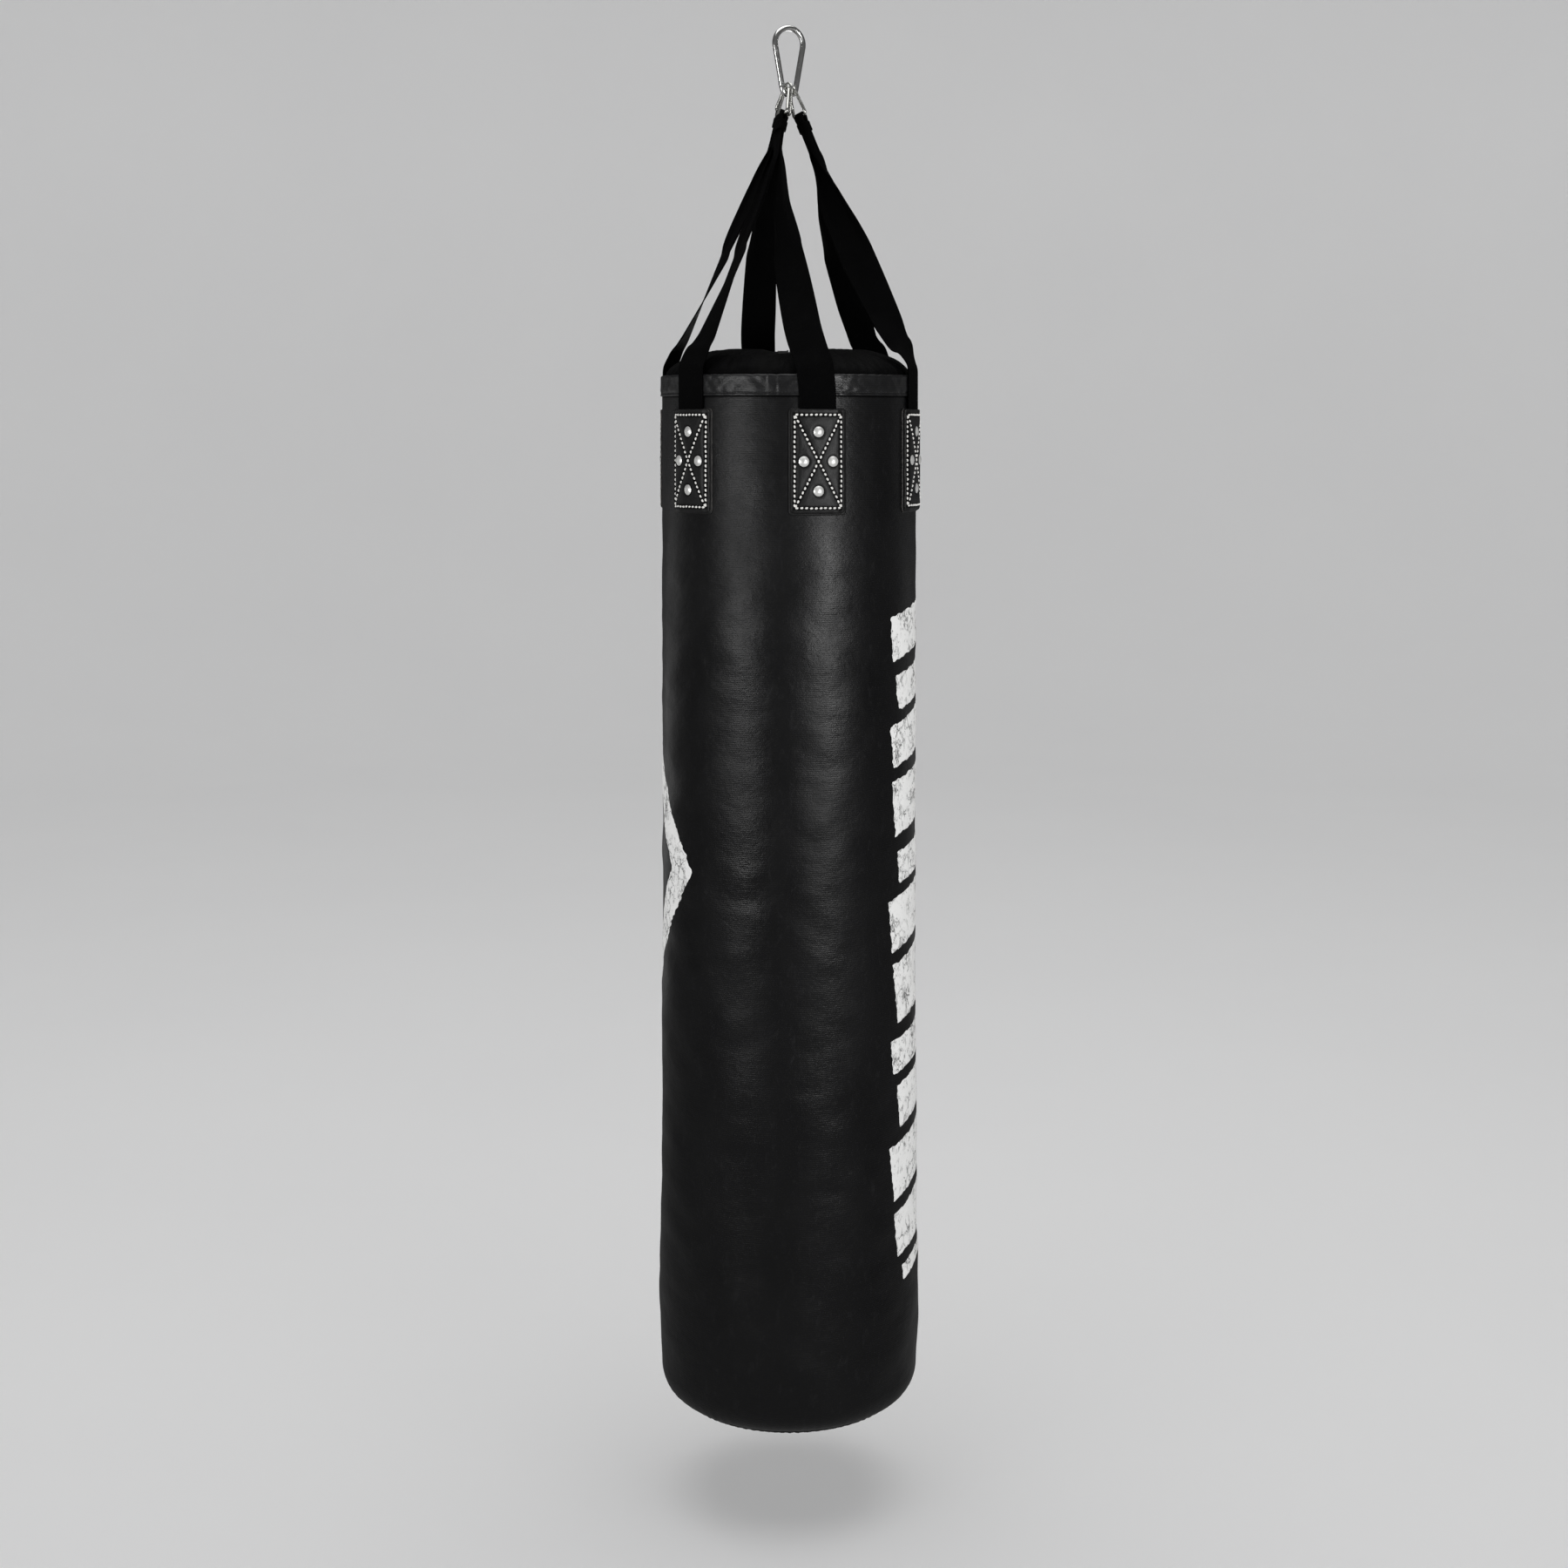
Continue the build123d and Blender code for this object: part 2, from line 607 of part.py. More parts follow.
def parts():
    nodes = {
        "carabiner_body": carabiner_body(),
        "carabiner_gate": carabiner_gate(),
        "gate_rivet": gate_rivet(),
        "latch_pin": latch_pin(),
        "gate_plunger": plunger(),
        "gate_spring": gate_spring(),
        "shell": shell(),
        "hem_band": hem_band(),
        "top_cover": top_cover(),
        "bottom_panel": bottom_panel(),
        "bottom_welt": bottom_welt(),
        "liner": liner(),
        "filling": filling(),
        "seam_strip": seam_strip(),
        "patch_rivets": rivets(),
        "rivet_burrs": burrs(),
        "zip_tapes": zip_tapes(),
        "zip_coils": zip_coils(),
        "zip_slider": zip_slider(),
        "zip_pull": zip_pull(),
    }
    for name, loop in LOOPS.items():
        nodes["ring_" + name] = ring(loop)
        nodes["strap_" + name] = strap(name)
        nodes["keeper_" + name] = keeper(name)
    for index in range(PATCH_COUNT):
        nodes[f"patch_{index + 1}"] = patch(index)
        nodes[f"underlay_{index + 1}"] = underlay(index)
    return nodes


os.makedirs("parts", exist_ok=True)
for name, piece in parts().items():
    export_step(piece, f"parts/{name}.step")
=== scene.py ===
import bmesh
import bpy
import numpy as np
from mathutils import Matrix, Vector


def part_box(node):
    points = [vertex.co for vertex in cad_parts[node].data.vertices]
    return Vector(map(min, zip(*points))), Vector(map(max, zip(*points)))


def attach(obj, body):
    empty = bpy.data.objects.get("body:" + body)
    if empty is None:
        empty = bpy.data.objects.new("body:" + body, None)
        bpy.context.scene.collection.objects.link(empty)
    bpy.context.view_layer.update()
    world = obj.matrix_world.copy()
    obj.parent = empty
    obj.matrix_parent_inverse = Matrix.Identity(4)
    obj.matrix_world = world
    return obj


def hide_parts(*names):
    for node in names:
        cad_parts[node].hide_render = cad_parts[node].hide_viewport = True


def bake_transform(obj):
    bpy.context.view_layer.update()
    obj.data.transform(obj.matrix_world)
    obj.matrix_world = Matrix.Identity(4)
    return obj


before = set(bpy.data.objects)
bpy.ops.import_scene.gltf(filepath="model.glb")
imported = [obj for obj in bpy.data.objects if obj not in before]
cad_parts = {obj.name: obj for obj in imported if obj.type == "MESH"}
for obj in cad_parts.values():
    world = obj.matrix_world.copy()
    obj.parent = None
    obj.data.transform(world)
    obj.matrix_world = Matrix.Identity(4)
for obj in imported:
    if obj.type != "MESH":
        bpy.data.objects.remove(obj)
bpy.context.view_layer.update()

# A hanging heavy bag. Lengths are in millimetres, and meshes are turned into metres when they are
# made. An angle round the bag is in degrees: 0 is the front (-Y) and it grows towards +X.
# Grids run upwards by row and with the angle by column, so that their normals face outwards.

MM = 0.001

# Bag
BAG_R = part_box("shell")[1].x / MM
WALL_T = 1.5
BOTTOM_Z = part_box("bottom_panel")[0].z / MM
CORNER_R = 40.0
CORNER_Z = BOTTOM_Z + 1.0 + CORNER_R
WALL_TOP_Z = -487.2
SEWN_END_R = 151.9
WAIST_Z, WAIST_DEPTH, WAIST_REACH = -1190.0, 0.9, 300.0
BELLY_Z, BELLY_RISE, BELLY_REACH = -1790.0, 2.6, 210.0
CALM_LOW_Z, CALM_HIGH_Z = -760.0, -560.0
HELD_LOW_Z, HELD_HIGH_Z = -530.0, -516.0
SEAM_ANGLE = 180.0

# Hem
HEM_TOP_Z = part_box("hem_band")[1].z / MM
HEM_LOW_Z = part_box("hem_band")[0].z / MM
HEM_STITCH_Z = HEM_LOW_Z + 4.5
HEM_GROOVE_R = 179.45
HEM_STITCHES = 246
FOLD_START = -9.2
FOLD_END = -5.1
PUCKERS = (19, 24, 36, 44)
UNDER_STRAP, BESIDE_STRAP = 8.2, 10.5

# Cover
COVER_R = 174.2
CROWN_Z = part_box("top_cover")[1].z / MM
CROWN_R = 1200.0
SHOULDER_START_R = 138.0
COVER_T = 1.4
PINNED_Z = -487.0
SWELL_REACH = 9.0
SWELL_SHARE = 0.8
ZIP_HALF_L = 124.0
ZIP_HALF_GAP = 6.0

# Straps
LOOPS = {"front": (0, 5), "back": (3, 4), "right": (1, 2)}
PATCH_ANGLE = 12.3
PATCH_COUNT = 6
WEB_W = 50.0
WEB_T = 1.7
FOLD_HALF_W = 10.2
BUNDLE_L = 62.0
STRAP_R = 181.2
RIM_TOUCH_Z = -474.0
TAIL_END_Z = -668.0
RING_BAR_T = 4.4
BAR_CLEAR = 2.6
FLAP_AT = 12.5
FLAP_BEND = 1.6
FLAP_FLATTEN = 0.62
HALF_COLUMNS = 15

# The angle that each leg's outer face looks to, at shares of the way from the bundle to the rim.
LEG_TWIST = {
    0: [(0.0, 118), (0.25, 125), (0.46, 143), (0.6, 158), (0.9, 184), (1.0, 192.3)],
    1: [(0.0, -61), (0.12, -40), (0.35, 0), (0.79, 35), (1.0, 72.3)],
    2: [(0.0, 119), (0.35, 138), (0.7, 150), (1.0, 132.3)],
    3: [(0.0, 129), (0.3, 140), (0.65, 166), (0.9, 187), (1.0, 192.3)],
    4: [(0.0, -51), (0.3, -70), (0.69, -90), (1.0, -107.7)],
    5: [(0.0, -62), (0.37, -69), (0.6, -73), (0.88, -58), (1.0, -47.7)],
}

# How far each leg's middle line wanders in x below the bundle, and the shares where that fades and ends.
LEG_BOW = {
    0: (-11.0, 0.8, 1.16), 1: (-7.0, 0.84, 1.0), 2: (-13.0, 0.84, 1.0), 3: (-10.0, 0.8, 1.16),
    4: (3.0, 0.84, 1.0), 5: (6.0, 0.84, 1.0),
}

# Patches
PATCH_W = 75.0
PATCH_H = 139.0
PATCH_Z = -601.5
PATCH_CORNER = 6.0
PATCH_BASE_R = 182.35
PATCH_T = 2.3
STITCH_BOX_W = 63.5
STITCH_BOX_H = 124.0
RIVET_PLACES = ((0, 39.3), (0, -39.3), (19.7, 0), (-19.7, 0))
RIVET_HEAD_R = 7.0


def patch_angle(index):
    """Angle of a patch and its strap round the bag."""
    angle = PATCH_ANGLE + index * 360 / PATCH_COUNT
    return angle if angle <= 180 else angle - 360


def on_bag(angle, radius, z):
    """Points at angles, radii and heights, as an array whose last axis is x, y, z."""
    angle, radius, z = np.broadcast_arrays(np.radians(angle), radius, z)
    return np.stack([radius * np.sin(angle), -radius * np.cos(angle), z], axis=-1)


def turns(cols):
    """A row of even angles all the way round the bag."""
    return (np.arange(cols) * 360 / cols)[None]


def smooth(value, start, end):
    """Rises softly from 0 at the start to 1 at the end."""
    share = np.clip((value - start) / (end - start), 0, 1)
    return share * share * (3 - 2 * share)


def turn_between(angle, centre):
    """Signed difference of two angles, from -180 to 180."""
    return (angle - centre + 180) % 360 - 180


# Random relief

def waves(seed, count, turns, pitches):
    """A soft random field round the bag, mostly from -1 to 1 and the same on every run."""
    draw = np.random.default_rng(seed)
    around = draw.integers(turns[0], turns[1] + 1, count) * draw.choice([-1, 1], count)
    along = 2 * np.pi / draw.uniform(pitches[0], pitches[1], count)
    shift = draw.uniform(0, 2 * np.pi, count)

    def field(angle, z):
        angle, z = np.broadcast_arrays(np.radians(angle), z)
        total = np.zeros(angle.shape)
        for turn, rise, start in zip(around, along, shift):
            total += np.cos(angle * turn + z * rise + start)
        return total / np.sqrt(count)

    return field


LUMPS = waves(11, 14, (2, 6), (150, 420))
DENTS = waves(12, 26, (5, 14), (45, 130))
RIPPLES = waves(13, 18, (0, 3), (26, 70))
GATHERS = waves(14, 12, (60, 110), (400, 900))
HEM_FOLDS = waves(15, 26, (18, 70), (14, 60))
HEM_CREASES = waves(16, 12, (40, 90), (10, 26))


def near_patches(angle, z, margin):
    """1 at a patch, fading to 0 at margin millimetres away from it."""
    held = np.zeros(np.broadcast(angle, z).shape)
    for index in range(PATCH_COUNT):
        across = np.radians(np.abs(turn_between(angle, patch_angle(index)))) * BAG_R
        aside = np.maximum(across - PATCH_W / 2, 0)
        below = np.maximum(PATCH_Z - PATCH_H / 2 - z, 0)
        held = np.maximum(held, 1 - smooth(np.hypot(aside, below), 2, margin))
    return held


def wall_relief(angle, z):
    """How far the bag's wall stands in or out from its plain cylinder."""
    belly = BELLY_RISE * np.exp(-(((z - BELLY_Z) / BELLY_REACH) ** 2))
    waist = WAIST_DEPTH * np.exp(-(((z - WAIST_Z) / WAIST_REACH) ** 2))
    soft = 0.85 * LUMPS(angle, z) + 0.4 * DENTS(angle, z) + 0.16 * RIPPLES(angle, z)
    calm = smooth(z, CALM_LOW_Z, CALM_HIGH_Z)
    soft = soft * (1 - 0.6 * calm) - 0.35 * calm
    held = np.maximum(near_patches(angle, z, 60), smooth(z, HELD_LOW_Z, HELD_HIGH_Z))
    low = smooth(z, CORNER_Z + 60, CORNER_Z - 10)
    return (belly - waist) * (1 - low) + soft * (1 - held) * (1 - 0.7 * low)


# Mesh helpers

def grid_faces(rows, cols, close_rows=False, close_cols=False):
    """Quads over a grid of points, closed on itself either way if asked."""
    row = np.arange(rows if close_rows else rows - 1)
    col = np.arange(cols if close_cols else cols - 1)
    r, c = np.meshgrid(row, col, indexing="ij")
    r_next = (r + 1) % rows
    c_next = (c + 1) % cols
    quads = np.stack([r * cols + c, r * cols + c_next, r_next * cols + c_next, r_next * cols + c], -1)
    return quads.reshape(-1, 4)


def add_mesh(name, points, faces, looks, body="bag"):
    """A smooth mesh object from points in millimetres, riding on a body if one is named."""
    mesh = bpy.data.meshes.new(name)
    faces = faces.tolist() if isinstance(faces, np.ndarray) else faces
    mesh.from_pydata((np.asarray(points).reshape(-1, 3) * MM).tolist(), [], faces)
    for look in looks if isinstance(looks, list) else [looks]:
        mesh.materials.append(look)
    mesh.shade_smooth()
    piece = bpy.data.objects.new(name, mesh)
    bpy.context.collection.objects.link(piece)
    if body:
        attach(piece, body)
    return piece


def add_grid(name, points, looks, body="bag", close_rows=False, close_cols=False):
    """A mesh over rows and columns of points."""
    rows, cols = points.shape[:2]
    return add_mesh(name, points, grid_faces(rows, cols, close_rows, close_cols), looks, body)


def thicken(piece, thickness, offset=-1.0, rim_look=0):
    """Gives a sheet its thickness in millimetres, inwards unless the offset says otherwise."""
    solid = piece.modifiers.new("thickness", "SOLIDIFY")
    solid.thickness = thickness * MM
    solid.offset = offset
    solid.use_even_offset = False
    solid.material_offset_rim = rim_look
    return piece


def stand_in(piece, node):
    """Hides the CAD node that a piece stands in for."""
    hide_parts(node)


def face_outwards(piece, merge=False):
    """Turns all the faces outwards, first joining points that lie together if asked."""
    shape = bmesh.new()
    shape.from_mesh(piece.data)
    if merge:
        bmesh.ops.remove_doubles(shape, verts=shape.verts[:], dist=1e-6)
    bmesh.ops.recalc_face_normals(shape, faces=shape.faces[:])
    shape.to_mesh(piece.data)
    shape.free()
    piece.data.shade_smooth()
    return piece


def thread_shape(length, radius, sink, sides=8, rings=7):
    """Points and faces of one stitch along x, with rounded ends that dip by sink."""
    part = np.linspace(0, np.pi, rings)
    x = -np.cos(part) * length / 2
    r = radius * np.maximum(np.sin(part), 0.02) ** 0.55
    around = np.arange(sides) * 2 * np.pi / sides
    ring_x = np.repeat(x[:, None], sides, 1)
    ring_y = r[:, None] * np.cos(around)
    ring_z = r[:, None] * np.sin(around) - sink * (ring_x / (length / 2)) ** 2
    return np.stack([ring_x, ring_y, ring_z], -1).reshape(-1, 3), grid_faces(rings, sides, close_cols=True)


def repeat_shape(places, faces, count):
    """Faces for many copies of one shape."""
    return (faces[None] + (np.arange(count) * places)[:, None, None]).reshape(-1, faces.shape[1])


def stitches_on(name, marks, surface, look, length, radius, sink=0.5, slant=0.0):
    """Stitches at marks (angle, z, direction in degrees) on a surface radius(angle, z)."""
    marks = np.asarray(marks)
    shape, faces = thread_shape(length, radius, sink)
    lean = np.radians(marks[:, 2] + slant)[:, None]
    along = shape[:, 0] * np.cos(lean) - shape[:, 1] * np.sin(lean)
    up = shape[:, 0] * np.sin(lean) + shape[:, 1] * np.cos(lean)
    base = surface(marks[:, 0], marks[:, 1])[:, None]
    angle = marks[:, 0][:, None] + np.degrees(along / base)
    points = on_bag(angle, base + shape[:, 2], marks[:, 1][:, None] + up)
    return add_mesh(name, points, repeat_shape(len(shape), faces, len(marks)), look)


# Materials

class Look:
    """The node tree of one material, with short calls for the nodes used here."""

    def __init__(self, name, rough=0.5, metal=0.0, colour=(0.5, 0.5, 0.5)):
        self.material = bpy.data.materials.new(name)
        self.material.use_nodes = True
        self.tree = self.material.node_tree
        self.shader = self.tree.nodes["Principled BSDF"]
        self.place = self.tree.nodes.new("ShaderNodeTexCoord").outputs["Object"]
        self.normal = None
        self.set("Roughness", rough)
        self.set("Metallic", metal)
        self.set("Base Color", colour)

    def put(self, socket, value):
        if isinstance(value, bpy.types.NodeSocket):
            self.tree.links.new(value, socket)
        elif socket.type == "RGBA" and len(value) == 3:
            socket.default_value = (*value, 1)
        else:
            socket.default_value = value

    def set(self, name, value):
        self.put(self.shader.inputs[name], value)

    def node(self, kind, inputs=(), output=0, **settings):
        made = self.tree.nodes.new("ShaderNode" + kind)
        for key, value in settings.items():
            setattr(made, key, value)
        for key, value in dict(inputs).items():
            self.put(made.inputs[key], value)
        return made.outputs[output]

    def stretched(self, scale):
        return self.node("Mapping", {"Vector": self.place, "Scale": scale})

    def noise(self, size, detail=2.0, rough=0.5, stretch=(1, 1, 1), warp=0.0):
        """Cloudy noise whose features are about size millimetres."""
        inputs = {"Vector": self.stretched(stretch), "Scale": 1 / (size * MM), "Detail": detail,
                  "Roughness": rough, "Distortion": warp}
        return self.node("TexNoise", inputs)

    def cells(self, size, feature="F1", stretch=(1, 1, 1), random=1.0):
        inputs = {"Vector": self.stretched(stretch), "Scale": 1 / (size * MM), "Randomness": random}
        return self.node("TexVoronoi", inputs, feature=feature)

    def bands(self, pitch, direction, warp=0.0, vector=None):
        """Soft bands at a pitch in millimetres across X, Y or Z."""
        inputs = {"Vector": vector or self.place, "Scale": 2 * np.pi / (20 * pitch * MM), "Distortion": warp,
                  "Detail": 2.0, "Detail Scale": 1.5}
        return self.node("TexWave", inputs, output=1, bands_direction=direction)

    def levels(self, value, low, high, out_low=0.0, out_high=1.0):
        inputs = {"Value": value, "From Min": low, "From Max": high, "To Min": out_low, "To Max": out_high}
        return self.node("MapRange", inputs)

    def sum(self, first, second, operation="ADD"):
        return self.node("Math", {0: first, 1: second}, operation=operation)

    def times(self, first, second):
        return self.sum(first, second, "MULTIPLY")

    def mix(self, factor, first, second):
        return self.node("Mix", {0: factor, 6: first, 7: second}, output=2, data_type="RGBA")

    def bump(self, height, depth, strength=1.0):
        """Adds bumps of a depth in millimetres to those made before."""
        inputs = {"Height": height, "Distance": depth * MM, "Strength": strength}
        if self.normal:
            inputs["Normal"] = self.normal
        self.normal = self.node("Bump", inputs)
        self.set("Normal", self.normal)

    def across(self):
        """Coordinates across and along a piece of webbing, from its own map, in metres."""
        return self.node("UVMap", uv_map="Weave")


def vinyl_look(name, base, rough, grain, shine):
    """Coated bag vinyl: a fine leather grain over the faint ribs of its backing cloth, with a painted shadow
    just under the hem.
    """
    look = Look(name, rough)
    cloud = look.noise(85, 4.0, 0.6, (1, 1, 0.55))
    scuffs = look.levels(look.noise(9, 6.0, 0.7, (1, 1, 0.4), 0.6), 0.56, 0.74)
    tone = look.mix(cloud, base, [value * 1.7 for value in base])
    dust = look.mix(look.times(scuffs, 0.16), tone, (0.034, 0.034, 0.036))
    # Painted shadow: a dark band just under the hem's lower edge, set by height in the object's own space,
    # darkens the colour and dims the gloss.
    level = look.node("SeparateXYZ", {0: look.place}, output=2)
    seam = look.levels(level, (HEM_LOW_Z - 3.4) * MM, (HEM_LOW_Z - 0.6) * MM)
    above = look.levels(level, (HEM_LOW_Z - 0.2) * MM, (HEM_LOW_Z + 0.4) * MM, 1, 0)
    painted_hem_shadow = look.times(seam, above)
    look.set("Base Color", look.mix(painted_hem_shadow, dust, (0.0006, 0.0006, 0.0006)))
    worn = look.sum(look.levels(cloud, 0.3, 0.7, -0.07, 0.09), look.levels(scuffs, 0, 1, 0, 0.07))
    look.set("Roughness", look.sum(worn, rough))
    look.set("Specular IOR Level", look.levels(painted_hem_shadow, 0, 1, shine, 0.03))
    look.bump(look.bands(2.6, "Z", 1.6), 0.05 * grain)
    look.bump(look.cells(1.5, stretch=(1, 1, 0.8)), 0.07 * grain)
    look.bump(look.noise(0.6, 2.0), 0.05 * grain)
    look.bump(look.noise(30, 5.0, 0.62, (1, 1, 1.5)), 1.5, 0.7)
    return look.material


def webbing_look():
    """Black woven polypropylene with a herringbone face."""
    look = Look("webbing", 0.78)
    place = look.across()
    split = look.node("SeparateXYZ", {0: place})
    ends = look.bands(1.25, "X", 0.0, place)
    slope = look.node("Mapping", {"Vector": place, "Rotation": (0, 0, 0.72)})
    picks = look.bands(1.5, "Y", 0.4, slope)
    cloud = look.noise(30, 3.0)
    weave = look.times(ends, picks)
    look.set("Base Color", look.mix(weave, (0.0005, 0.0005, 0.0006), (0.0024, 0.0024, 0.0026)))
    look.set("Roughness", look.levels(cloud, 0.3, 0.7, 0.7, 0.86))
    look.set("Specular IOR Level", 0.05)
    edge = look.levels(look.node("Math", {0: split}, operation="ABSOLUTE"), 0.0225, 0.0245)
    look.bump(edge, 0.25)
    look.bump(weave, 0.3)
    look.bump(look.noise(0.5, 2.0), 0.08)
    return look.material


def cover_look():
    """Black coated pack cloth: a fine square weave with a soft gloss on its folds."""
    look = Look("cover_fabric", 0.6)
    warp = look.bands(0.9, "X")
    weft = look.bands(0.9, "Y")
    weave = look.times(warp, weft)
    cloud = look.noise(40, 4.0)
    tone = look.mix(cloud, (0.0006, 0.0006, 0.0007), (0.0018, 0.0018, 0.0020))
    look.set("Base Color", look.mix(look.times(weave, 0.4), tone, (0.0034, 0.0034, 0.0036)))
    look.set("Roughness", look.levels(cloud, 0.3, 0.7, 0.52, 0.68))
    look.set("Specular IOR Level", 0.05)
    look.bump(weave, 0.16)
    look.bump(look.noise(14, 3.0, 0.6), 0.5, 0.6)
    return look.material


def leather_look():
    """Black finished leather of the patches, with pores, creases and rubbed high spots, and painted shade in
    its seams and round its rivets.
    """
    look = Look("patch_leather", 0.46)
    cloud = look.noise(22, 5.0, 0.65)
    rubbed = look.levels(look.noise(3.5, 6.0, 0.72), 0.58, 0.76)
    tone = look.mix(cloud, (0.0034, 0.0034, 0.0037), (0.0095, 0.0095, 0.0095))
    worn = look.mix(look.times(rubbed, 0.22), tone, (0.05, 0.048, 0.046))
    # Painted shade: the patch's attribute darkens the colour and dims the gloss in the seams and round the
    # rivets.
    hollow = look.node("Attribute", output=2, attribute_name="hollow")
    look.set("Base Color", look.mix(look.times(hollow, 0.85), worn, (0.0012, 0.0012, 0.0012)))
    scuffed = look.levels(rubbed, 0, 1, 0, 0.1)
    look.set("Roughness", look.sum(look.levels(cloud, 0.3, 0.7, 0.38, 0.52), scuffed))
    look.set("Specular IOR Level", look.levels(hollow, 0, 1, 0.34, 0.05))
    look.bump(look.cells(1.1, "SMOOTH_F1"), 0.14)
    look.bump(look.noise(0.45, 2.0), 0.07)
    look.bump(look.noise(7, 4.0, 0.6), 0.35, 0.7)
    return look.material


def raw_edge_look():
    """Cut edge of the leather: grey-brown fibres under a broken black finish."""
    look = Look("raw_edge", 0.85)
    fibres = look.noise(0.9, 5.0, 0.7)
    patches = look.levels(look.noise(6, 3.0), 0.35, 0.6)
    fibre_tone = look.mix(fibres, (0.05, 0.045, 0.042), (0.16, 0.15, 0.14))
    look.set("Base Color", look.mix(patches, (0.02, 0.02, 0.02), fibre_tone))
    look.bump(fibres, 0.3)
    return look.material


def thread_look(name, dark, light, pitch=0.9):
    """Twisted sewing thread."""
    look = Look(name, 0.62)
    turned = look.node("Mapping", {"Vector": look.place, "Rotation": (0.6, 0.5, 0.7)})
    twist = look.bands(pitch, "Z", 0.6, turned)
    fuzz = look.noise(1.2, 4.0, 0.7)
    look.set("Base Color", look.mix(look.times(twist, fuzz), dark, light))
    look.set("Sheen Weight", 0.1)
    look.bump(twist, 0.16)
    look.bump(fuzz, 0.08)
    return look.material


def ink_look():
    """White screen print, cracked and rubbed through to the black vinyl."""
    look = Look("print_ink", 0.5)
    bent = look.node("Mix", {0: 0.012, 6: look.place, 7: look.node("TexNoise", {"Scale": 60.0}, output=1)},
                     output=2, data_type="RGBA")
    crack_cells = look.node("TexVoronoi", {"Vector": bent, "Scale": 62.0}, feature="DISTANCE_TO_EDGE")
    breaks = look.levels(look.noise(34, 3.0, 0.6), 0.46, 0.58)
    cracks = look.times(look.levels(crack_cells, 0.02, 0.055, 1, 0), breaks)
    fine_cells = look.node("TexVoronoi", {"Vector": bent, "Scale": 190.0}, feature="DISTANCE_TO_EDGE")
    fine_breaks = look.levels(look.noise(18, 3.0, 0.6), 0.54, 0.62)
    fine = look.times(look.levels(fine_cells, 0.02, 0.07, 1, 0), fine_breaks)
    specks = look.levels(look.noise(4.2, 7.0, 0.75), 0.635, 0.66)
    lost = look.sum(look.sum(cracks, fine, "MAXIMUM"), specks, "MAXIMUM")
    smear = look.mix(look.noise(12, 4.0), (0.82, 0.82, 0.81), (0.92, 0.92, 0.91))
    look.set("Base Color", look.mix(lost, smear, (0.014, 0.014, 0.015)))
    look.set("Roughness", look.levels(lost, 0, 1, 0.5, 0.42))
    look.bump(lost, -0.1)
    look.bump(look.cells(1.5), 0.05)
    return look.material


def metal_look(name, tone, rough, streaks=0.6, dull=(0.25, 0.25, 0.25), metal=1.0):
    """Plated metal with drawing streaks, fine scratches and dull spots."""
    look = Look(name, rough, metal, tone)
    cloud = look.noise(7, 5.0, 0.65)
    spots = look.levels(look.noise(2.2, 6.0, 0.7), 0.6, 0.72)
    look.set("Base Color", look.mix(look.times(spots, 0.5), tone, dull))
    worn = look.sum(look.levels(cloud, 0.35, 0.65, -0.06, 0.08), look.levels(spots, 0, 1, 0, 0.15))
    look.set("Roughness", look.sum(worn, rough))
    look.bump(look.noise(0.5, 3.0, 0.6, (1, 1, 0.15)), 0.02, streaks)
    look.bump(look.noise(3.0, 3.0), 0.06, 0.5)
    return look.material


def cloth_look(name, dark, light, pitch):
    """Plain woven cloth for the hidden layers and the zip tapes."""
    look = Look(name, 0.85)
    weave = look.times(look.bands(pitch, "Z", 0.3), look.bands(pitch, "DIAGONAL", 0.3))
    cloud = look.noise(30, 4.0)
    look.set("Base Color", look.mix(look.times(weave, cloud), dark, light))
    look.bump(weave, 0.2)
    look.bump(look.noise(1.2, 4.0), 0.15)
    return look.material


def shred_look():
    """Shredded textile: scraps of several muted colours."""
    look = Look("filling", 0.95)
    scrap = look.node("TexVoronoi", {"Vector": look.place, "Scale": 70.0}, output=1)
    grey = look.node("HueSaturation", {"Color": scrap, "Saturation": 0.35, "Value": 0.5})
    look.set("Base Color", look.mix(look.noise(6, 5.0), grey, (0.35, 0.34, 0.33)))
    look.bump(look.cells(12), 2.5)
    look.bump(look.noise(2.5, 5.0), 0.8)
    return look.material


def floor_look():
    """Pale studio paper, seen only from above so that a low camera looks through it."""
    look = Look("studio_paper", 0.9)
    cloud = look.noise(900, 3.0)
    look.set("Base Color", look.mix(cloud, (0.66, 0.66, 0.665), (0.70, 0.70, 0.70)))
    look.bump(look.noise(3, 3.0), 0.1)
    look.set("Emission Color", (1.0, 1.0, 1.0))
    look.set("Emission Strength", 0.22)
    clear = look.node("BsdfTransparent")
    behind = look.node("NewGeometry", output=6)
    shown = look.node("MixShader", {0: behind, 1: look.shader.outputs[0], 2: clear})
    look.put(look.tree.nodes["Material Output"].inputs["Surface"], shown)
    return look.material


BLACK_VINYL = vinyl_look("bag_vinyl", (0.0020, 0.0020, 0.0023), 0.38, 1.2, 0.29)
HEM_VINYL = vinyl_look("hem_vinyl", (0.0042, 0.0042, 0.0046), 0.34, 1.2, 0.42)
WEBBING = webbing_look()
COVER_CLOTH = cover_look()
LEATHER = leather_look()
RAW_EDGE = raw_edge_look()
WHITE_THREAD = thread_look("white_thread", (0.80, 0.79, 0.76), (0.96, 0.95, 0.92))
BLACK_THREAD = thread_look("black_thread", (0.004, 0.004, 0.004), (0.022, 0.022, 0.022))
INK = ink_look()
HOOK_STEEL = metal_look("hook_steel", (0.74, 0.74, 0.73), 0.17)
RING_STEEL = metal_look("ring_steel", (0.66, 0.66, 0.63), 0.24)
PIN_STEEL = metal_look("spring_steel", (0.52, 0.52, 0.52), 0.28)
RIVET_STEEL = metal_look("rivet_steel", (0.95, 0.95, 0.93), 0.38, 0.8, (0.6, 0.6, 0.58), 0.72)
